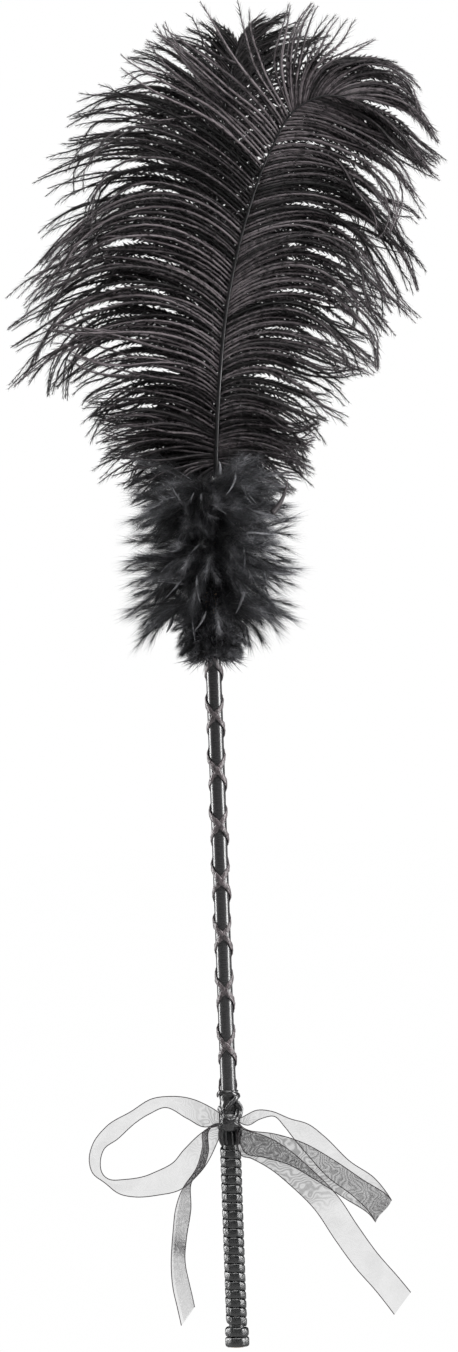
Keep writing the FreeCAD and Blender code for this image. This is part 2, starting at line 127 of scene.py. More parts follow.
class DusterTrimSettings(bpy.types.PropertyGroup):
    """Sizes of the lacing, the grip winding and the bow's ribbon."""

    lace_width: FloatProperty(name="Lace width", description="Width of the rolled strips",
                              default=0.0015, unit="LENGTH")
    turn_height: FloatProperty(name="Turn height", description="Width of the grip's flat cord",
                               default=0.0038, unit="LENGTH")
    turn_pitch: FloatProperty(name="Turn pitch", description="Rise of the grip cord in a turn",
                              default=0.00392, unit="LENGTH")
    ribbon_width: FloatProperty(name="Ribbon width", description="Width of the organza",
                                default=0.012, unit="LENGTH")
    cloth_thickness: FloatProperty(name="Cloth thickness", description="Of the organza",
                                   default=0.00015, unit="LENGTH")
    thread_width: FloatProperty(name="Edge thread", description="Thread along the edges",
                                default=0.0004, unit="LENGTH")


class DusterColourSettings(bpy.types.PropertyGroup):
    """Dyes of the feathers and trimmings."""

    barb_dark: FloatVectorProperty(name="Barb shade", description="Dark of the ostrich barbs",
                                   default=(0.0020, 0.0018, 0.0019), subtype="COLOR")
    barb_light: FloatVectorProperty(name="Barb light", description="Light of the ostrich barbs",
                                    default=(0.058, 0.050, 0.054), subtype="COLOR")
    barb_pale: FloatVectorProperty(name="Barb edge", description="Palest ostrich barbs",
                                   default=(0.19, 0.165, 0.175), subtype="COLOR")
    down_dark: FloatVectorProperty(name="Down shade", description="Dark of the marabou",
                                   default=(0.0030, 0.0031, 0.0037), subtype="COLOR")
    down_light: FloatVectorProperty(name="Down light", description="Light of the marabou",
                                    default=(0.066, 0.067, 0.074), subtype="COLOR")
    down_pale: FloatVectorProperty(name="Down quills", description="Bare quills of the marabou",
                                   default=(0.30, 0.30, 0.32), subtype="COLOR")


# ---- mesh helpers ----------------------------------------------------------


def put_mesh(name, points, faces_by_size, attributes=None):
    """A new object from an array of points and arrays of faces, all smooth."""
    mesh = bpy.data.meshes.new(name)
    points = np.asarray(points, np.float32)
    mesh.vertices.add(len(points))
    mesh.vertices.foreach_set("co", points.ravel())
    corners = np.concatenate([faces.ravel() for faces in faces_by_size])
    totals = np.concatenate([np.full(len(faces), faces.shape[1]) for faces in faces_by_size])
    starts = np.concatenate([[0], np.cumsum(totals)[:-1]])
    mesh.loops.add(len(corners))
    mesh.loops.foreach_set("vertex_index", corners.astype(np.int32))
    mesh.polygons.add(len(totals))
    mesh.polygons.foreach_set("loop_start", starts.astype(np.int32))
    mesh.polygons.foreach_set("use_smooth", np.ones(len(totals), bool))
    mesh.update(calc_edges=True)
    mesh.validate()
    for label, values in (attributes or {}).items():
        layer = mesh.attributes.new(label, "FLOAT", "POINT")
        layer.data.foreach_set("value", np.asarray(values, np.float32))
    piece = bpy.data.objects.new(name, mesh)
    bpy.context.collection.objects.link(piece)
    return piece


def unit(vectors):
    """The vectors, each brought to a length of one."""
    return vectors / np.maximum(np.linalg.norm(vectors, axis=-1, keepdims=True), 1e-12)


def across_and_out(along, towards):
    """Two directions square to each line direction, the first nearly square to towards."""
    first = unit(np.cross(along, towards))
    return first, np.cross(along, first)


def share_of_run(points):
    """How far each point of a line lies along it, in metres."""
    return np.concatenate([[0], np.cumsum(np.linalg.norm(np.diff(points, axis=0), axis=1))])


def place_on_stems(lines, stem, at):
    """Where a share of each chosen stem's run falls: the step, the place and the heading."""
    spans = lines.shape[1] - 1
    step = (at * spans).astype(int)
    part = (at * spans - step)[:, None]
    place = lines[stem, step] * (1 - part) + lines[stem, step + 1] * part
    return step, place, unit(lines[stem, step + 1] - lines[stem, step])


class Growth:
    """Gathers many small closed shapes into one mesh."""

    def __init__(self):
        self.points, self.quads, self.tris, self.shade = [], [], [], []
        self.count = 0

    def add(self, points, shade, quads=None, tris=None):
        """Takes in points with their shade and the faces between them."""
        if quads is not None:
            self.quads.append(quads + self.count)
        if tris is not None:
            self.tris.append(tris + self.count)
        self.points.append(points.reshape(-1, 3))
        self.shade.append(np.broadcast_to(shade, points.shape[:-1]).reshape(-1))
        self.count += points.reshape(-1, 3).shape[0]

    def stems(self, lines, widths, shade, flatness=0.45):
        """Tapered flat stems: lines is (stem, step, xyz), widths and shade are (stem, step)."""
        stems, steps = lines.shape[:2]
        along = unit(np.gradient(lines, axis=1))
        first, second = across_and_out(along, np.array([0.0, 1.0, 0.0]))
        turn = np.arange(4) * math.pi / 2
        rings = (lines[:, :, None] + widths[:, :, None, None] * 0.5
                 * (np.cos(turn)[:, None] * first[:, :, None]
                    + np.sin(turn)[:, None] * flatness * second[:, :, None]))
        base = (np.arange(stems)[:, None, None] * steps + np.arange(steps - 1)[None, :, None]) * 4
        corner = np.arange(4)
        following = (corner + 1) % 4
        quads = np.stack([base + corner, base + following, base + following + 4,
                          base + corner + 4], axis=-1).reshape(-1, 4)
        ends = np.arange(stems)[:, None] * steps * 4
        caps = np.concatenate([ends + np.array([3, 2, 1, 0]),
                               ends + (steps - 1) * 4 + np.array([0, 1, 2, 3])])
        # Painted light and shade across each stem: the corner on its first side is painted at 0.45
        # of its tone and the other three corners at 1.55.
        painted_light_across = 1.0 + 0.55 * np.sign(np.array([-1, 0.3, 1, 0.3]))
        self.add(rings, shade[:, :, None] * painted_light_across, quads=np.concatenate([quads, caps]))

    def spikes(self, roots, reach, width, shade, tip_shade=None):
        """Fine three-sided spikes from roots, each pointing along reach."""
        along = unit(reach)
        first, second = across_and_out(along, np.array([0.31, 0.87, 0.38]))
        turn = np.arange(3) * math.tau / 3
        width = np.broadcast_to(width, roots.shape[:1])
        ring = (roots[:, None] + width[:, None, None] * 0.5
                * (np.cos(turn)[:, None] * first[:, None] + np.sin(turn)[:, None] * second[:, None]))
        points = np.concatenate([ring, (roots + reach)[:, None]], axis=1)
        base = np.arange(len(roots))[:, None] * 4
        tris = np.concatenate([base + np.array(face) for face in
                               ((0, 1, 3), (1, 2, 3), (2, 0, 3), (0, 2, 1))])
        shades = np.repeat(np.broadcast_to(shade, roots.shape[:1])[:, None], 4, axis=1).copy()
        if tip_shade is not None:
            shades[:, 3] = tip_shade
        self.add(points, shades, tris=tris)

    def wisps(self, roots, bends, tips, width, shade):
        """Fine curved hairs through a root, a bend and a tip."""
        along = unit(tips - roots)
        first, second = across_and_out(along, np.array([0.31, 0.87, 0.38]))
        turn = np.arange(3) * math.tau / 3
        spread = np.cos(turn)[:, None] * first[:, None] + np.sin(turn)[:, None] * second[:, None]
        width = np.broadcast_to(width, roots.shape[:1])[:, None, None]
        points = np.concatenate([roots[:, None] + width * 0.5 * spread,
                                 bends[:, None] + width * 0.36 * spread, tips[:, None]], axis=1)
        base = np.arange(len(roots))[:, None] * 7
        quads = np.concatenate([base + np.array(face) for face in
                                ((0, 1, 4, 3), (1, 2, 5, 4), (2, 0, 3, 5))])
        tris = np.concatenate([base + np.array(face) for face in
                               ((3, 4, 6), (4, 5, 6), (5, 3, 6), (0, 2, 1))])
        shades = np.repeat(np.broadcast_to(shade, roots.shape[:1])[:, None], 7, axis=1)
        self.add(points, shades, quads=quads, tris=tris)

    def finish(self, name):
        """One object of everything that was added."""
        faces = [np.concatenate(group) for group in (self.quads, self.tris) if group]
        return put_mesh(name, np.concatenate(self.points), faces,
                        {"shade": np.concatenate(self.shade)})


def smooth_line(points, steps):
    """Steps evenly spaced along a smooth curve through a few points."""
    points = np.asarray(points, float)
    knots = share_of_run(points)
    slopes = np.gradient(points, knots, axis=0, edge_order=2)
    fine = np.linspace(0, knots[-1], 400)
    place = np.clip(np.searchsorted(knots, fine, side="right") - 1, 0, len(knots) - 2)
    gap = (knots[place + 1] - knots[place])[:, None]
    t = (fine[:, None] - knots[place][:, None]) / gap
    curve = ((2 * t**3 - 3 * t**2 + 1) * points[place] + (t**3 - 2 * t**2 + t) * gap * slopes[place]
             + (3 * t**2 - 2 * t**3) * points[place + 1] + (t**3 - t**2) * gap * slopes[place + 1])
    run = share_of_run(curve)
    at = np.linspace(0, run[-1], steps)
    return np.stack([np.interp(at, run, column) for column in curve.T], axis=1)


# ---- shaping by hand -------------------------------------------------------


def choose(piece):
    """Makes a piece the only one selected, and the active one."""
    bpy.ops.object.select_all(action="DESELECT")
    piece.select_set(True)
    bpy.context.view_layer.objects.active = piece


def name_new(name):
    """Names the primitive that was just added and returns it."""
    piece = bpy.context.active_object
    piece.name = piece.data.name = name
    return piece


def finish_shape(piece, smooth_angle=60.0):
    """Puts a piece's place into its mesh, turns its faces outwards and smooths them."""
    choose(piece)
    bpy.ops.object.transform_apply(location=True, rotation=True, scale=True)
    bpy.ops.object.mode_set(mode="EDIT")
    bpy.ops.mesh.select_all(action="SELECT")
    bpy.ops.mesh.normals_make_consistent(inside=False)
    bpy.ops.object.mode_set(mode="OBJECT")
    bpy.ops.object.shade_smooth_by_angle(angle=math.radians(smooth_angle))
    return piece


def apply_modifier(piece, kind, **settings):
    """Adds a modifier to a piece, sets it and applies it."""
    choose(piece)
    bpy.ops.object.modifier_add(type=kind)
    modifier = piece.modifiers[-1]
    for name, value in settings.items():
        setattr(modifier, name, value)
    bpy.ops.object.modifier_apply(modifier=modifier.name)


def crumple(piece, grain, strength, direction="NORMAL"):
    """Creases a surface with soft lumps of a given grain."""
    texture = bpy.data.textures.new(piece.name + "_creases", "CLOUDS")
    texture.noise_scale = grain
    texture.noise_depth = 2
    apply_modifier(piece, "DISPLACE", texture=texture, texture_coords="LOCAL",
                   strength=strength, mid_level=0.5, direction=direction)


def close_ends(piece):
    """Fills the open ends of a tube-like piece."""
    choose(piece)
    bpy.ops.object.mode_set(mode="EDIT")
    bpy.ops.mesh.select_all(action="SELECT")
    bpy.ops.mesh.fill_holes(sides=0)
    bpy.ops.object.mode_set(mode="OBJECT")


def join_to(piece, others):
    """Joins other pieces to a piece one by one, so that their order is always the same."""
    for other in others:
        choose(piece)
        other.select_set(True)
        bpy.ops.object.join()


def cut_across(piece, axis, cuts):
    """Subdivides the edges of a straight piece that run along an axis."""
    choose(piece)
    bpy.context.tool_settings.mesh_select_mode = (False, True, False)
    bpy.ops.object.mode_set(mode="EDIT")
    bpy.ops.mesh.select_all(action="DESELECT")
    bpy.ops.object.mode_set(mode="OBJECT")
    for edge in piece.data.edges:
        ends = [piece.data.vertices[index].co for index in edge.vertices]
        edge.select = abs((ends[1] - ends[0]).normalized()[axis]) > 0.99
    bpy.ops.object.mode_set(mode="EDIT")
    bpy.ops.mesh.subdivide(number_cuts=cuts)
    bpy.ops.object.mode_set(mode="OBJECT")
    bpy.context.tool_settings.mesh_select_mode = (True, False, False)


def wind(name, radius, thick, tall, bottom, pitch, turns, hand, start, steps=36, sides=14):
    """A flat cord wound round the shaft: its section is drawn once and carried up as a screw."""
    bpy.ops.object.select_all(action="DESELECT")
    bpy.ops.mesh.primitive_circle_add(vertices=sides, radius=0.5, location=(0, 0, 0))
    piece = name_new(name)
    bpy.ops.object.mode_set(mode="EDIT")
    bpy.ops.mesh.select_all(action="SELECT")
    bpy.ops.transform.rotate(value=math.pi / 2, orient_axis="X", center_override=(0, 0, 0))
    bpy.ops.transform.resize(value=(thick, 1, tall), center_override=(0, 0, 0))
    bpy.ops.transform.translate(value=(radius, 0, bottom + tall / 2))
    bpy.ops.object.mode_set(mode="OBJECT")
    total = int(steps * turns)
    apply_modifier(piece, "SCREW", axis="Z", angle=hand * math.tau * turns,
                   screw_offset=pitch * turns, iterations=1, steps=total, render_steps=total)
    close_ends(piece)
    choose(piece)
    piece.rotation_euler.z = start
    return piece


def tube(name, radius, low, high, sides):
    """An open tube round the shaft, from one height to another."""
    bpy.ops.object.select_all(action="DESELECT")
    bpy.ops.mesh.primitive_cylinder_add(vertices=sides, radius=radius, depth=high - low,
                                        end_fill_type="NOTHING",
                                        location=(0, 0, (low + high) / 2))
    return name_new(name)


def ring(name, radius, thickness, height, tall=1.0, tilt=0.0, around=64, section=14):
    """A ring round the shaft, with its section stretched up by tall."""
    bpy.ops.object.select_all(action="DESELECT")
    bpy.ops.mesh.primitive_torus_add(major_segments=around, minor_segments=section,
                                     major_radius=radius, minor_radius=thickness,
                                     location=(0, 0, 0))
    piece = name_new(name)
    bpy.ops.object.mode_set(mode="EDIT")
    bpy.ops.mesh.select_all(action="SELECT")
    bpy.ops.transform.resize(value=(1, 1, tall), center_override=(0, 0, 0))
    bpy.ops.object.mode_set(mode="OBJECT")
    piece.rotation_euler.y = tilt
    piece.location.z = height
    return piece


def follow_line(name, line, width, depth, tip=0.3, sides=12, cuts=70, twist=0.0):
    """A tapering round rod, modelled straight along X and then laid along a line."""
    run = float(np.linalg.norm(np.diff(line, axis=0), axis=1).sum())
    bpy.ops.object.select_all(action="DESELECT")
    bpy.ops.mesh.primitive_cylinder_add(vertices=sides, radius=0.5, depth=run,
                                        location=(run / 2, 0, 0), rotation=(0, math.pi / 2, 0))
    rod = name_new(name)
    bpy.ops.object.transform_apply(location=True, rotation=True, scale=True)
    cut_across(rod, 0, cuts)
    bpy.ops.object.mode_set(mode="EDIT")
    bpy.ops.mesh.select_all(action="SELECT")
    bpy.ops.transform.resize(value=(1, width, depth), center_override=(0, 0, 0))
    bpy.ops.object.mode_set(mode="OBJECT")
    if tip < 1.0:
        apply_modifier(rod, "SIMPLE_DEFORM", deform_method="TAPER", deform_axis="X",
                       factor=tip - 1.0)
    if twist:
        apply_modifier(rod, "SIMPLE_DEFORM", deform_method="TWIST", deform_axis="X", angle=twist)
    path = bpy.data.curves.new(name + "_line", "CURVE")
    path.dimensions = "3D"
    path.twist_mode = "MINIMUM"
    spline = path.splines.new("POLY")
    spline.points.add(len(line) - 1)
    for point, place in zip(spline.points, line):
        point.co = (*place, 1)
    guide = bpy.data.objects.new(name + "_line", path)
    bpy.context.collection.objects.link(guide)
    apply_modifier(rod, "CURVE", object=guide, deform_axis="POS_X")
    bpy.data.objects.remove(guide)
    return rod


def fit_to_wand(piece, material, node=None):
    """Gives a finished piece its material, says what it rides on, and hides the frame's node that it
    takes the place of.
    """
    piece.data.materials.append(material)
    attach(piece, "wand")
    if node:
        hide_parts(node)


# ---- materials -------------------------------------------------------------


def new_material(name):
    """A new material with its nodes, its links and its main shader."""
    material = bpy.data.materials.new(name)
    material.use_nodes = True
    nodes = material.node_tree.nodes
    return material, nodes, material.node_tree.links, nodes["Principled BSDF"]


def mix_colours(nodes, links, factor, dark, light):
    """A colour between dark and light."""
    mix = nodes.new("ShaderNodeMix")
    mix.data_type = "RGBA"
    mix.inputs["A"].default_value = (*dark, 1)
    mix.inputs["B"].default_value = (*light, 1)
    links.new(factor, mix.inputs["Factor"])
    return mix.outputs["Result"]


def remap(nodes, links, value, low, high, to_low=0.0, to_high=1.0):
    """A value's range from low to high, stretched to another range."""
    node = nodes.new("ShaderNodeMapRange")
    node.inputs["From Min"].default_value = low
    node.inputs["From Max"].default_value = high
    node.inputs["To Min"].default_value = to_low
    node.inputs["To Max"].default_value = to_high
    links.new(value, node.inputs["Value"])
    return node.outputs["Result"]


def noise(nodes, links, scale, detail=3.0):
    """Even noise through the piece."""
    place = nodes.new("ShaderNodeTexCoord")
    node = nodes.new("ShaderNodeTexNoise")
    node.inputs["Scale"].default_value = scale
    node.inputs["Detail"].default_value = detail
    links.new(place.outputs["Object"], node.inputs["Vector"])
    return node.outputs["Fac"]


def arithmetic(nodes, links, operation, first, second):
    """One sum of two values, each a number or a socket."""
    node = nodes.new("ShaderNodeMath")
    node.operation = operation
    for socket, value in zip(node.inputs, (first, second)):
        if isinstance(value, (int, float)):
            socket.default_value = value
        else:
            links.new(value, socket)
    return node.outputs["Value"]


def feather_material(name, dark, light, pale, roughness, gloss, streak_scale):
    """Dyed feather: the tone kept on the mesh, which also carries painted shade and highlights,
    broken up by fine streaks of noise.
    """
    material, nodes, links, shader = new_material(name)
    shade = nodes.new("ShaderNodeAttribute")
    shade.attribute_name = "shade"
    streaks = remap(nodes, links, noise(nodes, links, streak_scale), 0.35, 0.65, 0.30, 0.70)
    factor = arithmetic(nodes, links, "MULTIPLY", shade.outputs["Fac"], streaks)
    tones = nodes.new("ShaderNodeValToRGB")
    tones.color_ramp.elements[0].color = (*dark, 1)
    tones.color_ramp.elements[1].color = (*pale, 1)
    tones.color_ramp.elements.new(0.5).color = (*light, 1)
    links.new(factor, tones.inputs["Fac"])
    links.new(tones.outputs["Color"], shader.inputs["Base Color"])
    rough = remap(nodes, links, noise(nodes, links, streak_scale * 0.3), 0.3, 0.7,
                  roughness - 0.08, roughness + 0.08)
    links.new(rough, shader.inputs["Roughness"])
    shader.inputs["Specular IOR Level"].default_value = gloss
    return material


def give_bump(nodes, links, shader, height, strength, distance):
    """Fine relief on a shader, from a height."""
    bump = nodes.new("ShaderNodeBump")
    bump.inputs["Strength"].default_value = strength
    bump.inputs["Distance"].default_value = distance
    links.new(height, bump.inputs["Height"])
    links.new(bump.outputs["Normal"], shader.inputs["Normal"])


def stretched_noise(nodes, links, scale, stretch, detail=3.0, source="Object"):
    """Noise whose grain is stretched by different amounts along the three axes."""
    place = nodes.new("ShaderNodeTexCoord")
    mapping = nodes.new("ShaderNodeMapping")
    mapping.inputs["Scale"].default_value = stretch
    links.new(place.outputs[source], mapping.inputs["Vector"])
    node = nodes.new("ShaderNodeTexNoise")
    node.inputs["Scale"].default_value = scale
    node.inputs["Detail"].default_value = detail
    links.new(mapping.outputs["Vector"], node.inputs["Vector"])
    return node.outputs["Fac"]


def fibre_material(name, dark, light, roughness, gloss, scale, stretch, bump, relief=0.00003):
    """Cloth or cord with fibres: streaks of colour, roughness and relief that run one way."""
    material, nodes, links, shader = new_material(name)
    grain = stretched_noise(nodes, links, scale, stretch)
    fine = stretched_noise(nodes, links, scale * 2.7, stretch, 2.0)
    both = arithmetic(nodes, links, "MULTIPLY", arithmetic(nodes, links, "ADD", grain, fine), 0.5)
    tone = remap(nodes, links, both, 0.36, 0.64)
    links.new(mix_colours(nodes, links, tone, dark, light), shader.inputs["Base Color"])
    links.new(remap(nodes, links, both, 0.3, 0.7, roughness + 0.1, roughness - 0.1),
              shader.inputs["Roughness"])
    shader.inputs["Specular IOR Level"].default_value = gloss
    give_bump(nodes, links, shader, both, bump, relief)
    return material


def quill_material(name, dark, light):
    """Horny quill, with faint lines along it."""
    return fibre_material(name, dark, light, roughness=0.32, gloss=0.5, scale=260.0,
                          stretch=(2.0, 2.0, 0.12), bump=0.25)


def satin_material(name):
    """Narrow satin wound flat: fine cross ribs and a strong sheen."""
    return fibre_material(name, (0.014, 0.014, 0.015), (0.045, 0.044, 0.046), roughness=0.27,
                          gloss=0.9, scale=900.0, stretch=(0.5, 0.5, 3.2), bump=0.8,
                          relief=0.00005)


def lace_material(name):
    """Organza rolled into a string: silky creases over dark cloth."""
    return fibre_material(name, (0.010, 0.008, 0.009), (0.170, 0.140, 0.148), roughness=0.36,
                          gloss=0.7, scale=800.0, stretch=(1.0, 1.0, 0.6), bump=1.0,
                          relief=0.00035)


def cord_material(name):
    """Braided satin cord: black, with a tight sparkle of threads."""
    return fibre_material(name, (0.002, 0.003, 0.003), (0.007, 0.008, 0.009), roughness=0.25,
                          gloss=1.0, scale=1300.0, stretch=(1.0, 1.0, 1.3), bump=1.0,
                          relief=0.00014)


def smooth_cord_material(name):
    """Plain thread, laid close and dull."""
    return fibre_material(name, (0.002, 0.002, 0.003), (0.009, 0.010, 0.011), roughness=0.50,
                          gloss=0.3, scale=900.0, stretch=(0.6, 0.6, 2.5), bump=0.6)


def glossy_material(name):
    """Hard and shiny, as a pressed rim or set glue."""
    return fibre_material(name, (0.010, 0.010, 0.011), (0.045, 0.045, 0.048), roughness=0.20,
                          gloss=1.0, scale=600.0, stretch=(1.0, 1.0, 1.0), bump=0.3)


def bunched_material(name):
    """Organza gathered into many layers: nearly black, with silky lights on its creases."""
    return fibre_material(name, (0.002, 0.002, 0.003), (0.020, 0.019, 0.021), roughness=0.30,
                          gloss=0.9, scale=900.0, stretch=(1.0, 1.0, 1.0), bump=0.8,
                          relief=0.00010)


def thread_material(name):
    """The dark thread along the organza's edges."""
    return fibre_material(name, (0.008, 0.005, 0.006), (0.040, 0.028, 0.032), roughness=0.5,
                          gloss=0.4, scale=500.0, stretch=(1.0, 1.0, 1.0), bump=0.2)


def wood_material(name):
    """Turned pale wood, its grain along the rod."""
    return fibre_material(name, (0.42, 0.29, 0.17), (0.60, 0.45, 0.28), roughness=0.6,
                          gloss=0.4, scale=220.0, stretch=(4.0, 4.0, 0.15), bump=0.3)


def organza_material(name):
    """Sheer black cloth: fine threads both ways that let most of the light through, darker
    and crossed by wavy bands where the cloth is gathered or doubled."""
    material, nodes, links, shader = new_material(name)
    place = nodes.new("ShaderNodeTexCoord")

    def bands(direction, scale, distortion, detail_scale):
        wave = nodes.new("ShaderNodeTexWave")
        wave.bands_direction = direction
        wave.inputs["Scale"].default_value = scale
        wave.inputs["Distortion"].default_value = distortion
        wave.inputs["Detail"].default_value = 1.0
        wave.inputs["Detail Scale"].default_value = detail_scale
        links.new(place.outputs["UV"], wave.inputs["Vector"])
        return wave.outputs["Fac"]

    weave = arithmetic(nodes, links, "MAXIMUM", bands("X", 640.0, 2.0, 0.12),
                       bands("Y", 640.0, 2.0, 0.12))
    moire = bands("DIAGONAL", 230.0, 26.0, 0.6)
    gather = nodes.new("ShaderNodeAttribute")
    gather.attribute_name = "gather"
    cloud = stretched_noise(nodes, links, 90.0, (1, 1, 1), source="UV")
    dense = remap(nodes, links, weave, 0.35, 1.0, 0.05, 0.135)
    uneven = remap(nodes, links, cloud, 0.3, 0.7, 0.75, 1.30)
    doubled = arithmetic(nodes, links, "MULTIPLY", gather.outputs["Fac"],
                         remap(nodes, links, moire, 0.1, 0.9, 0.12, 0.33))
    total = arithmetic(nodes, links, "ADD", arithmetic(nodes, links, "MULTIPLY", dense, uneven),
                       doubled)
    links.new(total, shader.inputs["Alpha"])
    links.new(mix_colours(nodes, links, cloud, (0.012, 0.011, 0.012), (0.045, 0.040, 0.044)),
              shader.inputs["Base Color"])
    shader.inputs["Roughness"].default_value = 0.45
    shader.inputs["Specular IOR Level"].default_value = 0.5
    return material


# ---- stage -----------------------------------------------------------------

# Each light: its name, its place, its width and height in metres, and its power in watts.
LIGHTS = [("strip_left", (-1.15, 0.28, 0.33), 0.36, 1.7, 30.0),
          ("strip_right", (1.15, -0.18, 0.33), 0.42, 1.7, 36.0),
          ("top_box", (0.05, -0.55, 1.75), 1.1, 0.7, 20.0),
          ("front_fill", (-0.6, -2.3, 1.2), 0.8, 0.8, 5.0)]
LIGHTS_AIM = Vector((0.0, 0.0, 0.36))


class DUSTER_OT_stage(bpy.types.Operator):
    """Sets the camera, the lights, the pale floor and the white surround"""

    bl_idname = "duster.stage"
    bl_label = "Stage"

    lean = math.radians(2.03)       # how far the camera is rolled to the side
    distance = 3.0
    view_height = 0.6043            # height of the camera's view at the duster
    centre = Vector((0.00682, 0.0, 0.2999))

    def execute(self, context):
        camera = bpy.data.objects.new("camera", bpy.data.cameras.new("camera"))
        context.collection.objects.link(camera)
        camera.data.sensor_width = 36.0
        camera.data.lens = camera.data.sensor_width * self.distance / self.view_height
        camera.data.clip_end = 50.0
        right = Vector((math.cos(self.lean), 0, -math.sin(self.lean)))
        up = Vector((math.sin(self.lean), 0, math.cos(self.lean)))
        back = Vector((0, -1, 0))
        turn = Matrix((right, up, back)).transposed().to_4x4()
        camera.matrix_world = Matrix.Translation(self.centre + back * self.distance) @ turn
        context.scene.camera = camera
        self.add_floor(context)
        self.add_surround(context)
        for name, place, wide, tall, power in LIGHTS:
            self.add_light(context, name, Vector(place), wide, tall, power)
        context.scene.view_settings.view_transform = "Standard"
        return {"FINISHED"}

    def add_light(self, context, name, place, wide, tall, power):
        """A soft box that faces the middle of the duster."""
        data = bpy.data.lights.new(name, "AREA")
        data.shape = "RECTANGLE"
        data.size, data.size_y, data.energy = wide, tall, power
        light = bpy.data.objects.new(name, data)
        context.collection.objects.link(light)
        light.location = place
        light.rotation_euler = (LIGHTS_AIM - place).to_track_quat("-Z", "Y").to_euler()

    def add_floor(self, context):
        """A pale round floor that melts into the surround."""
        bpy.ops.mesh.primitive_circle_add(vertices=96, radius=9.0, fill_type="NGON",
                                          location=(0, 0, CAD_BOX[0][2] - FLOOR_DROP))
        floor = context.active_object
        floor.name = "floor"
        material, nodes, links, shader = new_material("pale_floor")
        tone = mix_colours(nodes, links, noise(nodes, links, 3.0), (0.50, 0.50, 0.50),
                           (0.54, 0.54, 0.54))
        links.new(tone, shader.inputs["Base Color"])
        shader.inputs["Roughness"].default_value = 0.7
        glow = nodes.new("ShaderNodeEmission")
        links.new(mix_colours(nodes, links, noise(nodes, links, 3.0), (0.996, 0.996, 0.996),
                              (1.0, 1.0, 1.0)), glow.inputs["Color"])
        seen = nodes.new("ShaderNodeLightPath")
        either = nodes.new("ShaderNodeMixShader")
        links.new(seen.outputs["Is Camera Ray"], either.inputs["Fac"])
        links.new(shader.outputs["BSDF"], either.inputs[1])
        links.new(glow.outputs["Emission"], either.inputs[2])
        links.new(either.outputs["Shader"], nodes["Material Output"].inputs["Surface"])
        floor.data.materials.append(material)

    def add_surround(self, context):
        """White all round, with only a little light of its own."""
        world = bpy.data.worlds.new("surround")
        context.scene.world = world
        world.use_nodes = True
        nodes, links = world.node_tree.nodes, world.node_tree.links
        seen = nodes.new("ShaderNodeLightPath")
        level = remap(nodes, links, seen.outputs["Is Camera Ray"], 0, 1, 0.06, 1.0)
        links.new(level, nodes["Background"].inputs["Strength"])
        nodes["Background"].inputs["Color"].default_value = (1, 1, 1, 1)


# ---- plumes ----------------------------------------------------------------

# Centre lines of the shafts, root to tip, as (across, depth, up) in millimetres.
FRONT_RACHIS = [(3.9, 0.0, 388.9), (5.2, -3.6, 408.0), (6.8, -8.0, 427.0), (12.4, -9.0, 468.0),
                (22.6, -9.2, 506.0), (34.0, -10.0, 534.0), (45.4, -11.5, 551.0),
                (58.6, -14.0, 556.4), (68.0, -17.5, 554.6)]
BACK_RACHIS = [(0.9, 0.0, 388.9), (1.8, 4.0, 408.0), (2.6, 8.0, 427.0), (6.0, 9.0, 480.0),
               (11.6, 9.0, 540.0), (17.6, 8.0, 572.0), (21.0, 7.0, 582.0)]

# How the barbs lie: place along the shaft (0 root, 1 tip), length in millimetres, and the rise
# of the barb above the level in degrees, seen from the shaft, at four places along the barb.
BEND_PLACES = (0.05, 0.30, 0.60, 0.95)
FRONT_LEFT_COMB = [
    (0.00, 30, -35, -42, -48, -55), (0.03, 44, 6, -6, -20, -32), (0.06, 52, 28, 18, 2, -12),
    (0.10, 60, 40, 30, 6, 0), (0.17, 68, 48, 20, -2, -2),
    (0.24, 80, 50, 16, 0, -16), (0.31, 104, 46, 15, -15, -54), (0.38, 108, 47, 22, -12, -46),
    (0.45, 108, 48, 22, -22, -48), (0.52, 106, 46, 20, -24, -52), (0.59, 102, 50, 26, -14, -48),
    (0.66, 100, 50, 34, -2, -56), (0.73, 82, 49, 45, 28, 10), (0.80, 73, 55, 48, 45, 46),
    (0.85, 55, 64, 64, 74, 84), (0.875, 46, 84, 92, 104, 122), (0.90, 47, 104, 122, 148, 172),
    (0.92, 55, 118, 144, 190, 226), (0.95, 53, 134, 160, 202, 238), (1.00, 48, 178, 192, 216, 238)]
FRONT_RIGHT_COMB = [
    (0.00, 28, -35, -42, -48, -55), (0.03, 40, 4, -8, -24, -32), (0.06, 45, 16, 0, -18, -26),
    (0.10, 48, 22, -4, -24, -30), (0.17, 54, 26, -8, -34, -36),
    (0.24, 66, 36, 0, -22, -34), (0.31, 78, 34, 4, -34, -47), (0.38, 92, 36, 8, -30, -58),
    (0.45, 94, 37, 12, -42, -56), (0.52, 94, 28, 2, -37, -46), (0.59, 92, 24, -2, -37, -47),
    (0.66, 92, 20, -12, -36, -51), (0.73, 86, 17, -18, -35, -49), (0.80, 76, 14, -15, -31, -53),
    (0.86, 71, -4, -27, -33, -54), (0.92, 63, -14, -25, -42, -55), (1.00, 54, -20, -37, -42, -56)]
BACK_LEFT_COMB = [
    (0.00, 30, -30, -38, -46, -52), (0.06, 48, 26, 6, -12, -24), (0.15, 58, 40, 20, -5, -20),
    (0.30, 96, 46, 20, -20, -50),
    (0.50, 86, 48, 24, -16, -44), (0.65, 80, 50, 30, -4, -30), (0.78, 66, 52, 42, 20, 0),
    (0.88, 42, 52, 46, 36, 30), (1.00, 16, 60, 54, 48, 40)]
BACK_RIGHT_COMB = [
    (0.00, 30, -30, -38, -46, -52), (0.06, 46, 18, 0, -22, -32), (0.15, 54, 30, 6, -24, -36),
    (0.30, 76, 36, 12, -26, -50),
    (0.50, 92, 42, 20, -16, -44), (0.62, 86, 42, 20, -12, -42),
    (0.72, 74, 44, 24, -8, -38), (0.85, 57, 54, 42, 20, -4),
    (0.94, 38, 60, 52, 38, 20), (1.00, 18, 66, 58, 48, 40)]
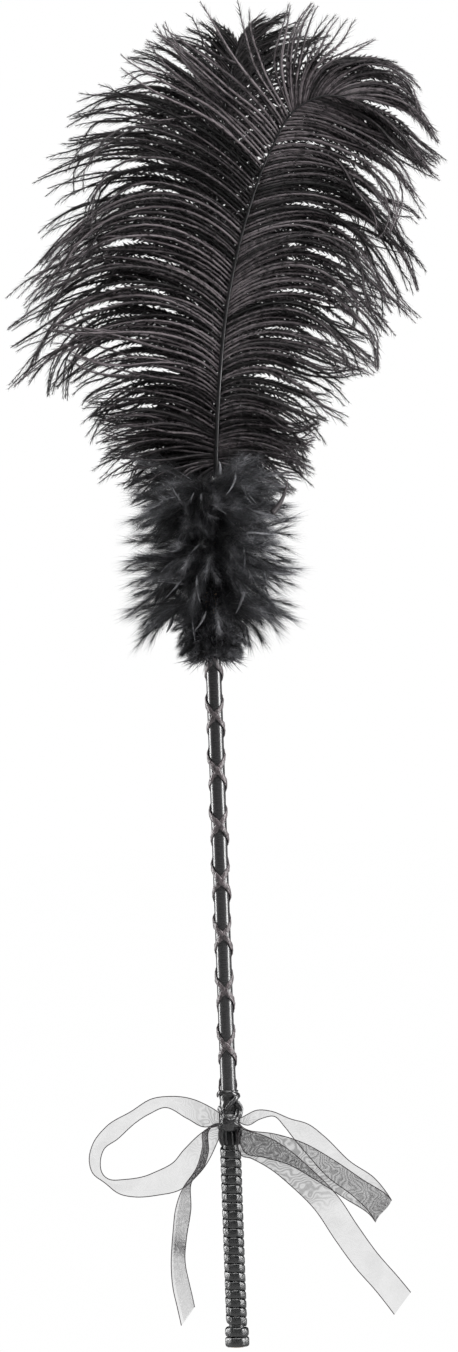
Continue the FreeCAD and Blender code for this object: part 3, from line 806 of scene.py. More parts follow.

# Each plume: its name, its shaft, its combs, how far its barbs bow out of its plane, its tone,
# the most barbs in a lock, how full it is, and the share of its left barbs that fan at the tip.
# The back plume's tone, far below the front one's, is painted shade: it lies behind the front plume.
PLUMES = [("front", FRONT_RACHIS, FRONT_LEFT_COMB, FRONT_RIGHT_COMB, -0.42, 1.20, 7, 1.08, 0.20),
          ("back", BACK_RACHIS, BACK_LEFT_COMB, BACK_RIGHT_COMB, 0.30, 0.36, 4, 1.32, 0.0)]
RIGHT_FAN = 0.09
BEND_SPREAD = np.array([1.5, 3.0, 5.0, 10.0])       # each barb's own waywardness, in degrees
BEND_DRIFT = np.array([0.4, 1.2, 2.6, 4.5])         # and what it shares with its neighbours
STRAY_DROOP = np.array([14.0, 50.0])                # of a stray barb's outer half
WEB_OFFSET = np.array([0.0, 0.0009, 0.0])           # the dark web lies behind the barbs


def grow_barbs(rng, rachis, comb, side, count, lean, tip_share, steps=17):
    """Barb lines on one side of a shaft, as an array (barb, step, xyz) in metres."""
    comb = np.array(comb, float)
    # Some barbs crowd at the root of the shaft and some fan out at its tip.
    crowd, fan = count // 7, int(count * tip_share)
    along = np.concatenate([np.linspace(0.0, 0.09, crowd), np.linspace(0.86, 1.0, fan),
                            np.linspace(0.02, 1.0, count - crowd - fan)])
    along = np.sort(np.clip(along + rng.normal(0, 0.2 / count, count), 0, 1))
    at = np.linspace(0, 1, len(rachis))
    roots = np.stack([np.interp(along, at, rachis[:, axis]) for axis in range(3)], axis=1)
    length = np.interp(along, comb[:, 0], comb[:, 1]) * MM * rng.normal(1.0, 0.06, count)
    bends = np.stack([np.interp(along, comb[:, 0], comb[:, 2 + k]) for k in range(4)], axis=1)
    unruly = np.interp(along, (0.0, 0.12, 0.22), (2.6, 2.0, 1.0))[:, None]
    bends += unruly * rng.normal(0, 1.0, (count, 4)) * BEND_SPREAD
    drift = np.stack([np.convolve(rng.normal(0, 1, count + 6), np.ones(7), "valid")
                      for _ in range(4)], axis=1)
    bends += drift * BEND_DRIFT
    # A few barbs are longer than the rest and droop out of line.
    strays = np.interp(along, (0.3, 0.6, 0.8, 0.85), (0.05, 0.16, 0.12, 0))
    stray = rng.uniform(0, 1, count) < strays
    length = np.where(stray, length * 1.08, length)
    bends[stray, 2:] -= STRAY_DROOP
    u = np.linspace(0, 1, steps)
    rise = np.stack([np.interp(u, BEND_PLACES, row) for row in bends])
    rise[:, 1:-1] = rise[:, 1:-1] * 0.5 + (rise[:, :-2] + rise[:, 2:]) * 0.25
    kink = rng.normal(0, 9.0, (count, 1)) * np.where(stray, 3.0, 1.0)[:, None]
    kink = kink * np.sin(u * math.pi * rng.uniform(2.0, 6.0, (count, 1)))
    rise = np.radians(rise + kink * u**1.5)
    bow = lean * u ** 1.3 * np.clip(rng.normal(0.35, 0.75, (count, 1)), -1.1, 1.7)
    stride = length[:, None] / (steps - 1)
    across = side * np.cos(rise) * np.cos(bow) * stride
    depth = np.sin(bow) * stride
    up = np.sin(rise) * np.cos(bow) * stride
    moves = np.stack([across, depth, up], axis=-1)
    return roots[:, None] + np.cumsum(moves, axis=1) - moves[:, :1], length


def gather_locks(rng, lines, smallest, largest):
    """Pulls neighbouring barbs together towards their tips, so that they hang in locks."""
    count, steps = lines.shape[:2]
    u = np.linspace(0, 1, steps)[None, :, None]
    begin = 0
    while begin < count:
        size = int(rng.integers(smallest, largest + 1))
        group = lines[begin:begin + size]
        leader = group[len(group) // 2][None]
        hold = rng.uniform(0.35, 0.9) * np.clip((u - 0.40) / 0.55, 0, 1) ** 1.3
        lines[begin:begin + size] = group + (leader - group) * hold
        begin += size
    return lines


def dress_barbs(growth, rng, lines, length, sizes, tone):
    """Adds the stems and barbules of barb lines to a growth."""
    count, steps = lines.shape[:2]
    u = np.linspace(0, 1, steps)
    swell = np.interp(u, (0.0, 0.12, 0.4, 0.75, 1.0), (0.80, 0.95, 1.0, 0.7, 0.22))
    widths = sizes.barb_width * swell[None] * rng.uniform(0.75, 1.25, (count, 1))
    # Painted shade: the lowest barbs, next to the boa, are painted darker, down to 0.45 of their
    # tone.
    tone = tone * np.interp(lines[:, :1, 2] - COLLAR_TOP, (0.005, 0.060), (0.45, 1.0))
    lock_tone = np.convolve(rng.normal(0, 0.5, count + 8), np.ones(5) / 5, "same")[4:-4, None]
    shade = np.clip(tone * (1 + rng.normal(0, 0.50, (count, 1)) + 1.3 * lock_tone) + 0.10 * u[None],
                    0.0, 1.9)
    growth.stems(lines, widths, shade)
    places = np.maximum((length / sizes.barbule_spacing).astype(int), 4)
    barb = np.repeat(np.arange(count), places)
    at = np.concatenate([np.linspace(0.02, 0.985, number) for number in places])
    at = np.clip(at + rng.normal(0, 0.004, at.shape), 0, 0.999)
    step, roots, run = place_on_stems(lines, barb, at)
    first, second = across_and_out(run, np.array([0.0, 1.0, 0.0]))
    # On each side of a barb stand fine barbules and, behind every other one, a broad dark one: the
    # close web, painted at a tenth of the barb's tone, partly its own dark and partly painted shade
    # inside the plume.
    for way in (1, -1):
        spin = rng.normal(0, 0.55, at.shape)[:, None]
        out = way * (np.cos(spin) * first + np.sin(spin) * second)
        splay = np.radians(rng.normal(19, 8, at.shape))[:, None]
        size = sizes.barbule_length * np.clip(np.minimum(at / 0.12 + 0.35, 1.0), 0, 1)
        size = size * np.clip((1.0 - at) / 0.18 + 0.35, 0, 1) * rng.uniform(0.65, 1.2, at.shape)
        reach = (run * np.cos(splay) + out * np.sin(splay)) * size[:, None]
        reach[:, 2] -= 0.10 * size
        # The barbules are painted at 0.55 of their barb's tone: partly their own darker colour,
        # partly painted shade that sets the stems off as painted highlights.
        hair_shade = np.clip(shade[barb, step] * 0.55 + rng.normal(0, 0.10, at.shape), 0.0, 1.2)
        growth.spikes(roots, reach, sizes.barbule_width * rng.uniform(0.7, 1.3, at.shape),
                      hair_shade)
        webbed = np.arange(len(at)) % 2 == (way > 0)
        splay = np.radians(rng.normal(36, 10, webbed.sum()))[:, None]
        size = sizes.web_reach * np.interp(at[webbed], (0, 0.1, 0.5, 0.72, 1),
                                           (0.7, 1, 1, 0.35, 0.1))
        reach = (run[webbed] * np.cos(splay) + out[webbed] * np.sin(splay)) * size[:, None]
        growth.spikes(roots[webbed] + WEB_OFFSET, reach,
                      sizes.barbule_spacing * np.interp(at[webbed], (0.4, 0.75), (1.5, 0.5)),
                      np.clip(shade[barb, step][webbed] * 0.10, 0, 0.2))


class DUSTER_OT_plumes(bpy.types.Operator):
    """Builds the barbs and shafts of the two ostrich plumes"""

    bl_idname = "duster.plumes"
    bl_label = "Plumes"

    def execute(self, context):
        sizes = context.scene.duster_plumes
        colours = context.scene.duster_colours
        material = feather_material("dyed_ostrich", colours.barb_dark, colours.barb_light,
                                    colours.barb_pale, roughness=0.48, gloss=0.35,
                                    streak_scale=420.0)
        quill = quill_material("dyed_quill", (0.003, 0.003, 0.004), (0.022, 0.021, 0.023))
        for plume, line, left, right, lean, tone, lock, fullness, left_fan in PLUMES:
            rachis = smooth_line(np.array(line) * MM, 80)
            barbed = rachis[rachis[:, 2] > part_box("front_rachis")[0].z + 0.001]
            for side, comb, word, fan in ((-1, left, "left", left_fan),
                                          (1, right, "right", RIGHT_FAN)):
                rng = np.random.default_rng(sizes.seed + 10 * side + len(plume))
                growth = Growth()
                lines, length = grow_barbs(rng, barbed, comb, side,
                                           int(sizes.barbs * fullness), lean, fan)
                lines = gather_locks(rng, lines, 2, lock)
                dress_barbs(growth, rng, lines, length, sizes, tone)
                self.set_piece(growth.finish(f"{plume}_barbs_{word}"), material,
                               f"{plume}_vane_{word}", "ostrich")
            shaft = follow_line(f"{plume}_plume_shaft", rachis, sizes.shaft_width,
                                sizes.shaft_width, tip=0.3)
            finish_shape(shaft)
            self.set_piece(shaft, quill, f"{plume}_rachis", "quill")
        return {"FINISHED"}

    def set_piece(self, piece, material, node, slot):
        """Gives a piece of a plume its material, puts its place into its mesh and hides the frame's
        node it takes the place of.
        """
        piece.data.materials.append(material)
        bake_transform(piece)
        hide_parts(node)


# ---- boa -------------------------------------------------------------------

# Each turn of the boa: its node, how far its down reaches, the rise of the down in degrees,
# how much it droops, and the share of long tufts that hang out at the sides.
BOA_TURNS = [("down_turn_lower", 10.0, -38.0, 0.6, 0.24),
             ("down_turn_middle", 31.5, -4.0, 0.3, 0.0),
             ("down_turn_upper", 27.0, -6.0, 0.2, 0.0)]
SIDE_TUFT_REACH = 29.0
FULL_REACH = 22.0       # down that reaches this far has hairs of full length
DOWN_STEPS = 8


def down_stems(rng, node, reach, rise, droop, hanging, count):
    """The quills of one turn's small feathers, and which of them hang out at the sides."""
    low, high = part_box(node)
    turn = rng.uniform(0, math.tau, count)
    hangs = np.arange(count) < hanging * count
    fullness = np.where(rng.uniform(0, 1, count) < 0.25, 0.6, 1.0)
    sides = np.where(rng.uniform(0, 1, count) < 0.5, 0.0, math.pi) + rng.normal(0, 0.55, count)
    turn = np.where(hangs, sides, turn)
    out = turn + rng.normal(0, 0.40, count)
    height = low.z + (high.z - low.z) * rng.uniform(0.25, 1.0, count)
    height = np.where(hangs, high.z - 0.004 * rng.uniform(0, 1, count), height)
    roots = np.stack([BOA_CORE * np.cos(turn), BOA_CORE * np.sin(turn), height], axis=1)
    lift = np.radians(np.where(hangs, -8, rise) + rng.normal(0, 1, count) * np.where(hangs, 12, 27))
    length = np.where(hangs, SIDE_TUFT_REACH, reach) * MM * rng.uniform(0.82, 1.08, count)
    length = length * fullness * (1 - 0.10 * np.abs(np.sin(out)))
    u = np.linspace(0, 1, DOWN_STEPS)
    pitch = lift[:, None] - droop * u[None] ** 1.5 * rng.uniform(0.5, 1.5, (count, 1))
    swing = out[:, None] + rng.normal(0, 0.35, (count, 1)) * u[None]
    stride = length[:, None] / (DOWN_STEPS - 1)
    moves = np.stack([np.cos(pitch) * np.cos(swing) * stride,
                      np.cos(pitch) * np.sin(swing) * stride, np.sin(pitch) * stride], axis=-1)
    return roots[:, None] + np.cumsum(moves, axis=1) - moves[:, :1], hangs


def grow_down(rng, node, reach, rise, droop, hanging, sizes):
    """The small down feathers of one turn of the boa, as a growth."""
    low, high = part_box(node)
    count = sizes.tufts
    stems, hangs = down_stems(rng, node, reach, rise, droop, hanging, count)
    tone = np.clip(rng.normal(0.66, 0.42, count), 0.04, 1.6)
    growth = Growth()
    taper = 1 - 0.7 * np.linspace(0, 1, DOWN_STEPS)
    growth.stems(stems, 0.5 * MM * taper[None] * np.ones((count, 1)),
                 (tone[:, None] + 0.3) * np.ones((1, DOWN_STEPS)))
    fluff = np.where(hangs, 1.0, np.minimum(reach / FULL_REACH, 1.0))
    add_hairs(growth, rng, stems, tone, fluff, sizes)
    # The lower turn's under down is painted lighter, up to 1.7 against 0.3: painted light on a turn
    # that stands in shade.
    add_under_down(growth, rng, low.z, high.z, count * 14, 0.3 if reach > 20 else 1.7, sizes)
    add_bare_quills(growth, rng, stems[~hangs], sizes)
    return growth


def add_hairs(growth, rng, stems, tone, fluff, sizes):
    """The fine hairs of the down feathers, straight ones and some that curl."""
    hairs = len(stems) * sizes.hairs
    tuft = np.repeat(np.arange(len(stems)), sizes.hairs)
    at = rng.uniform(0.05, 0.99, hairs) ** 0.85
    _, base, run = place_on_stems(stems, tuft, at)
    first, second = across_and_out(run, np.array([0.2, 0.5, 0.84]))
    spin = rng.uniform(0, math.tau, hairs)[:, None]
    away = np.cos(spin) * first + np.sin(spin) * second
    splay = np.radians(rng.normal(31, 12, hairs) * (1.15 - 0.6 * at))[:, None]
    size = sizes.fluff_length * rng.uniform(0.55, 1.15, hairs) * (1 - 0.42 * at)
    size = (size * fluff[tuft])[:, None]
    begin = run * np.cos(splay) + away * np.sin(splay)
    later = run * np.cos(splay * 0.3) + away * np.sin(splay * 0.3)
    bends = base + begin * size * 0.5
    tips = bends + unit(later + rng.normal(0, 0.13, base.shape)) * size * 0.5
    hair_tone = np.clip(tone[tuft] * (0.45 + 0.8 * at) + rng.normal(0, 0.12, hairs), 0.02, 1.5)
    curved = rng.uniform(0, 1, hairs) < 0.18
    growth.wisps(base[curved], bends[curved], tips[curved], sizes.fluff_width, hair_tone[curved])
    growth.spikes(base[~curved], (tips - base)[~curved], sizes.fluff_width, hair_tone[~curved])


def add_under_down(growth, rng, low, high, count, tone, sizes):
    """Short dark down that hides the core between the tufts."""
    spot = rng.uniform(0, math.tau, count)
    level = rng.uniform(low, high, count)
    around = rng.uniform(0.0040, 0.0095, count)
    base = np.stack([around * np.cos(spot), around * np.sin(spot), level], axis=1)
    out = np.stack([np.cos(spot), np.sin(spot), rng.normal(0, 0.6, count)], axis=1)
    reach = unit(out + rng.normal(0, 0.4, out.shape)) * rng.uniform(0.005, 0.010, (count, 1))
    growth.spikes(base, reach, sizes.fluff_width * 4, rng.uniform(0.0, tone, count))


def add_bare_quills(growth, rng, stems, sizes):
    """Pale bent quills that show on the face of the down."""
    chosen = rng.permutation(len(stems))[:sizes.quills]
    chosen = chosen[stems[chosen, 3, 2] > COLLAR_BOTTOM + 0.020]
    start = stems[chosen, 3]
    outward = unit(start * np.array([1, 1, 0]))
    run = unit((stems[chosen, 4] - start + rng.normal(0, 0.0030, start.shape)
                - np.array([0, 0, 0.0022])) * np.array([1.0, 0.35, 1.0]))
    start = start + outward * 0.006
    u = np.linspace(0, 1, 6)[None, :, None]
    bend = rng.normal(0, 0.0014, (len(chosen), 1, 3))
    size = rng.uniform(0.007, 0.014, (len(chosen), 1, 1))
    lines = start[:, None] + run[:, None] * u * size + bend * u * (1 - u) * 2
    taper = np.array([0.4, 1.0, 1.1, 0.8, 0.45, 0.12])
    widths = 1.35 * MM * taper[None] * rng.uniform(0.6, 1.1, (len(chosen), 1))
    growth.stems(lines, widths, rng.uniform(0.7, 1.6, (len(chosen), 1)) * np.ones((1, 6)), 0.2)


class DUSTER_OT_boa(bpy.types.Operator):
    """Builds the marabou down wound round the top of the shaft, and the pointed trimming"""

    bl_idname = "duster.boa"
    bl_label = "Boa"

    def execute(self, context):
        sizes = context.scene.duster_boa
        colours = context.scene.duster_colours
        down = feather_material("dyed_marabou", colours.down_dark, colours.down_light,
                                colours.down_pale, roughness=0.80, gloss=0.12,
                                streak_scale=700.0)
        down.node_tree.nodes["Principled BSDF"].inputs["Sheen Weight"].default_value = 0.12
        rng = np.random.default_rng(sizes.seed)
        for node, reach, rise, droop, hanging in BOA_TURNS:
            growth = grow_down(rng, node, reach, rise, droop, hanging, sizes)
            fit_to_wand(growth.finish(node.replace("turn", "fluff")), down, node)
        self.add_accent(colours)
        return {"FINISHED"}

    def add_accent(self, colours):
        """The stiff pointed feather that stands out of the boa at the right."""
        low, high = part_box("accent_feather")
        root = np.array([low.x, low.y, low.z]) + 0.001
        tip = np.array([high.x - 0.0002, high.y - 0.001, high.z - 0.0002])
        bend = (root + tip) / 2 + np.array([0.0012, 0, -0.0012])
        steps, hairs = 18, 420
        line = smooth_line(np.stack([root, bend, tip]), steps)
        rng = np.random.default_rng(3)
        growth = Growth()
        u = np.linspace(0, 1, steps)[None]
        growth.stems(line[None], 3.0 * MM * (1 - 0.95 * u), 0.35 + 0.3 * u)
        at = rng.uniform(0, 0.92, hairs)
        step = (at * (steps - 1)).astype(int)
        run = unit(line[step + 1] - line[step])
        reach = unit(run + rng.normal(0, 0.13, run.shape)) * (3.2 * MM * (1 - 0.75 * at))[:, None]
        growth.spikes(line[step], reach, 0.2 * MM, np.clip(rng.normal(0.4, 0.2, hairs), 0, 1))
        material = feather_material("stiff_feather", colours.barb_dark, colours.barb_light,
                                    colours.barb_pale, roughness=0.45, gloss=0.3,
                                    streak_scale=600.0)
        fit_to_wand(growth.finish("pointed_trimming"), material, "accent_feather")


# ---- shaft -----------------------------------------------------------------

# Each lace: its name, its node, its distance from the middle of the shaft, which way it winds
# and where it starts.
LACES = [("lace_lower", "lace_under", 0.00366, 1, 0.0),
         ("lace_upper", "lace_over", 0.00400, -1, math.pi)]
LACE_THICK = 0.00070
LACE_BULK = 2.3         # the gathered strip is this much taller than its rolled width


class DUSTER_OT_shaft(bpy.types.Operator):
    """Builds the satin covering of the shaft and its criss-cross lacing"""

    bl_idname = "duster.shaft"
    bl_label = "Shaft"

    def execute(self, context):
        self.add_sleeve()
        self.add_laces(context.scene.duster_trim)
        return {"FINISHED"}

    def add_sleeve(self):
        """The satin ribbon wound flat round the rod."""
        low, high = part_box("shaft_sleeve")
        sleeve = tube("satin_cover", SHAFT_RADIUS, low.z, high.z, 64)
        bpy.ops.object.transform_apply(location=True, rotation=True, scale=True)
        cut_across(sleeve, 2, 260)
        crumple(sleeve, 0.004, 0.00012)
        apply_modifier(sleeve, "SOLIDIFY", thickness=0.00038, offset=-1.0)
        finish_shape(sleeve)
        fit_to_wand(sleeve, satin_material("black_satin"), "shaft_sleeve")

    def add_laces(self, sizes):
        """The two rolled strips that cross as they wind up the shaft."""
        material = lace_material("rolled_organza")
        low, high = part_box("lace_under")
        turns = (high.z - low.z - sizes.lace_width) / LACE_PITCH
        for name, node, radius, hand, start in LACES:
            lace = wind(name, radius, LACE_THICK, sizes.lace_width * LACE_BULK, low.z - 0.0004,
                        LACE_PITCH, turns, hand, start, steps=64, sides=18)
            crumple(lace, 0.0013, 0.0008)
            crumple(lace, 0.0055, 0.0018, direction="Z")
            self.press_flat(lace, radius + 0.0006)
            finish_shape(lace, 80.0)
            fit_to_wand(lace, material, node)

    def press_flat(self, lace, limit):
        """Presses the lace against the shaft, so that it stands out only a little."""
        for vertex in lace.data.vertices:
            away = Vector((vertex.co.x, vertex.co.y))
            if away.length > limit:
                away.length = limit + (away.length - limit) * 0.3
                vertex.co.x, vertex.co.y = away


# ---- grip ------------------------------------------------------------------

GRIP_LINE = 0.00385     # middle of the grip's cord, from the middle of the shaft
GRIP_CORD_THICK = 0.00215
LINING_RADIUS = 0.00345
BUTT_BULK = 1.13        # the two turns at the butt stand out this much more than the grip
# How far the braid stands out in millimetres, from its front round to its side in degrees.
BRAID_CROWNS = [(0, 4.28), (12, 4.38), (20, 4.55), (24.5, 4.66), (30, 4.58), (38, 4.44),
                (46, 4.40), (54, 4.44), (62, 4.58), (70, 4.76), (78, 4.68), (90, 4.58)]


class DUSTER_OT_grip(bpy.types.Operator):
    """Builds the cord winding of the grip, its butt wraps, whipping, top wrap and rim"""

    bl_idname = "duster.grip"
    bl_label = "Grip"

    def execute(self, context):
        cord = cord_material("grip_winding")
        low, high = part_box("grip_cord")
        sizes = context.scene.duster_trim
        turns = (high.z - low.z - sizes.turn_height) / sizes.turn_pitch
        winding = wind("grip_winding", GRIP_LINE, GRIP_CORD_THICK, sizes.turn_height * 1.02,
                       low.z, sizes.turn_pitch, turns, -1, 0.0, steps=96, sides=16)
        self.shape_braid(winding, sizes.turn_pitch / (4 * math.pi), 1.0)
        self.add_lining(winding)
        crumple(winding, 0.0012, 0.0003)
        self.set_piece(winding, cord, "grip_cord", "grip_cord")
        self.add_butt(cord)
        self.add_whipping()
        self.add_top_wrap()
        return {"FINISHED"}

    def add_lining(self, winding):
        """The under layer of cord that fills the gaps between the turns."""
        low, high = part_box("butt_wraps")[0].z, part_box("grip_whipping")[1].z
        lining = tube("lining", LINING_RADIUS, low, high, 48)
        apply_modifier(lining, "SOLIDIFY", thickness=0.0004, offset=-1.0)
        join_to(winding, [lining])

    def shape_braid(self, winding, levelling, scale):
        """Shapes each turn as the braid lies: level and flat at the front, the back and the
        sides, with a flat face across each corner between them."""
        places, crowns = np.array(BRAID_CROWNS).T
        places, crowns = np.radians(places), crowns * MM * scale
        for vertex in winding.data.vertices:
            across, depth = vertex.co.x, vertex.co.y
            radius = math.hypot(across, depth)
            if radius < 0.001:
                continue
            crown = float(np.interp(math.atan2(abs(across), abs(depth)), places, crowns))
            if radius > crown:
                shrink = (crown + (radius - crown) * 0.22) / radius
                vertex.co.x, vertex.co.y = across * shrink, depth * shrink
            vertex.co.z += levelling * math.sin(2 * math.atan2(across, -depth))

    def set_piece(self, piece, material, node, slot):
        """Smooths a finished piece of the grip and fits it."""
        finish_shape(piece, 70.0)
        fit_to_wand(piece, material, node)

    def add_butt(self, cord):
        """The two larger turns at the butt, the upper one a little aslant."""
        low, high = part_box("butt_wraps")
        tall = (high.z - low.z) / 2
        lower = ring("butt_lower", 0.0043, 0.0017, low.z + tall * 0.5, tall=tall / 0.0034, around=96)
        upper = ring("butt_upper", 0.0041, 0.0015, high.z - tall * 0.5, tall=tall / 0.0030,
                     tilt=0.05, around=96)
        join_to(lower, [upper])
        lower.name = lower.data.name = "butt_winding"
        self.shape_braid(lower, 0.0, BUTT_BULK)
        crumple(lower, 0.0012, 0.0004)
        self.set_piece(lower, cord, "butt_wraps", "grip_cord")

    def add_whipping(self):
        """The taller dark turn that ends the grip."""
        low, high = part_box("grip_whipping")
        tall = high.z - low.z
        band = ring("whipping", 0.0040, 0.0007, (low.z + high.z) / 2, tall=tall / 0.0014)
        crumple(band, 0.0018, 0.0003)
        self.set_piece(band, smooth_cord_material("dark_whipping"), "grip_whipping", "grip_cord")

    def add_top_wrap(self):
        """The wrinkled satin above the whipping, and the shiny rim on top of it."""
        satin = satin_material("wrinkled_satin")
        low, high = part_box("top_wrap")
        wrap = tube("top_winding", high.x - 0.0001, low.z, high.z, 56)
        bpy.ops.object.transform_apply(location=True, rotation=True, scale=True)
        cut_across(wrap, 2, 40)
        crumple(wrap, 0.0035, 0.0010)
        apply_modifier(wrap, "SOLIDIFY", thickness=0.0006, offset=-1.0)
        self.set_piece(wrap, satin, "top_wrap", "satin")
        rim_low, rim_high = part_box("rim_ring")
        rim = ring("rim", 0.0040, 0.00045, (rim_low.z + rim_high.z) / 2, tilt=0.03, around=72)
        crumple(rim, 0.0015, 0.00012)
        self.set_piece(rim, glossy_material("rim_satin"), "rim_ring", "rim")


# ---- bow -------------------------------------------------------------------

# Sections of the bow's ribbons, in millimetres: the (across, up) of the first and of the
# second edge, the depth of the middle, and how much deeper the second edge lies.
LEFT_LOOP = [
    ((-3.2, 103.8), (-4.4, 100.6), -6.2, 1.0),
    ((-5.9, 106.5), (-10.8, 98.9), -4.2, 6.0), ((-15.3, 111.6), (-18.7, 102.8), -3.5, 7.0),
    ((-25.8, 113.5), (-28.5, 108.0), -2.5, 10.0), ((-34.3, 112.6), (-35.4, 105.5), -1.5, 9.0),
    ((-43.8, 107.2), (-42.2, 101.4), 0.0, 10.0), ((-54.9, 100.9), (-50.4, 94.4), 2.0, 9.0),
    ((-61.4, 93.1), (-56.8, 89.8), 2.5, 10.5), ((-63.2, 86.0), (-58.5, 84.3), 1.5, 11.0),
    ((-61.8, 80.4), (-58.0, 79.8), 0.0, 11.5), ((-56.5, 76.0), (-54.9, 76.7), -1.5, 11.5),
    ((-50.2, 70.9), (-47.2, 76.5), -2.5, 10.0), ((-43.0, 69.2), (-40.5, 77.3), -3.0, 8.5),
    ((-32.4, 69.7), (-33.7, 79.6), -3.2, 6.5), ((-22.9, 71.6), (-26.1, 83.4), -3.2, 1.5),
    ((-13.8, 79.0), (-20.6, 89.4), -3.2, 0.5), ((-6.2, 91.4), (-10.4, 97.6), -3.6, 6.0),
    ((-3.8, 97.4), (-4.6, 99.8), -6.0, 1.0)]
LEFT_TAIL = [
    ((-4.6, 99.6), (-3.6, 100.5), -8.2, 1.6), ((-9.0, 98.9), (-7.4, 99.8), -9.2, 2.4),
    ((-11.4, 97.9), (-9.2, 98.0), -9.8, 3.0), ((-12.4, 90.8), (-9.8, 88.7), -10.2, 3.5),
    ((-15.4, 81.6), (-12.4, 81.2), -10.0, 4.0), ((-21.5, 73.2), (-18.0, 74.5), -9.5, 6.0),
    ((-25.0, 64.9), (-18.6, 62.9), -9.0, 9.0), ((-26.7, 54.7), (-21.0, 50.0), -8.5, 9.0),
    ((-28.2, 36.9), (-21.9, 37.5), -8.0, 9.5), ((-27.6, 27.4), (-20.4, 29.0), -8.0, 8.5),
    ((-26.1, 19.7), (-19.3, 23.6), -8.5, 8.0), ((-24.6, 11.7), (-18.5, 19.0), -9.0, 7.0)]
RIGHT_LOOP = [
    ((3.4, 103.4), (4.4, 100.8), -6.4, 1.0),
    ((5.2, 103.0), (8.2, 99.0), -4.5, 8.0), ((12.2, 106.0), (13.6, 101.4), -3.5, 9.5),
    ((18.6, 105.4), (19.6, 102.4), -2.5, 11.5), ((27.2, 101.6), (24.6, 97.4), -1.8, 11.0),
    ((34.6, 99.0), (28.8, 91.6), -1.2, 7.5), ((41.8, 93.2), (34.6, 84.4), -0.8, 4.0),
    ((53.0, 81.4), (43.6, 74.0), -0.6, 1.0), ((63.8, 73.4), (54.8, 65.0), -0.8, 0.5),
    ((70.1, 65.0), (62.5, 56.0), -1.8, 0.5), ((71.1, 63.3), (63.6, 53.8), -3.2, 0.5),
    ((69.9, 65.0), (62.3, 56.0), -4.6, 0.5), ((58.2, 73.4), (49.8, 65.4), -5.2, 0.5),
    ((45.6, 82.6), (36.6, 74.4), -5.4, 0.5), ((32.2, 90.8), (25.4, 81.2), -5.6, 2.5),
    ((19.6, 95.2), (14.8, 84.6), -5.6, 3.5), ((8.4, 97.2), (5.9, 87.6), -5.4, 5.0),
    ((4.6, 100.2), (3.8, 97.6), -6.2, 1.0)]
RIGHT_TAIL = [
    ((4.4, 99.8), (3.6, 97.0), -8.0, 0.6),
    ((7.4, 97.4), (4.4, 86.6), -9.2, 4.0), ((15.4, 94.6), (9.2, 84.6), -8.8, 2.0),
    ((25.4, 88.4), (17.8, 79.4), -8.4, 0.5), ((34.8, 79.8), (26.4, 71.8), -8.2, 0.5),
    ((46.8, 66.8), (36.8, 60.6), -8.0, 0.5), ((55.2, 53.4), (45.0, 47.4), -8.2, 1.5),
    ((63.6, 40.8), (53.6, 34.6), -8.6, 2.5), ((73.0, 29.2), (63.4, 22.6), -9.0, 2.0),
    ((78.0, 22.6), (70.4, 12.9), -9.2, 1.0)]

# How much each ribbon is gathered, as (share of its run, amount).
LEFT_LOOP_GATHERS = [(0, 1.0), (0.08, 0.3), (0.2, 0.06), (0.5, 0.1), (0.8, 0.05), (0.93, 0.25),
                     (1, 1.0)]
LEFT_TAIL_GATHERS = [(0, 1.6), (0.3, 1.5), (0.42, 0.35), (0.60, 0.4), (0.66, 1.1), (0.72, 0.25),
                     (1, 0.05)]
RIGHT_LOOP_GATHERS = [(0, 1.0), (0.06, 0.2), (0.3, 0.08), (0.45, 0.2), (0.52, 0.9), (0.95, 1.0),
                      (1, 1.4)]
RIGHT_TAIL_GATHERS = [(0, 1.4), (0.1, 1.0), (0.42, 0.8), (0.52, 0.08), (1, 0.02)]

# Each ribbon: its node, its sections, its steps, whether it is folded, and its gathers.
RIBBONS = [("bow_loop_left", LEFT_LOOP, 150, False, LEFT_LOOP_GATHERS),
           ("bow_tail_left", LEFT_TAIL, 100, True, LEFT_TAIL_GATHERS),
           ("bow_loop_right", RIGHT_LOOP, 160, False, RIGHT_LOOP_GATHERS),
           ("bow_tail_right", RIGHT_TAIL, 110, False, RIGHT_TAIL_GATHERS)]

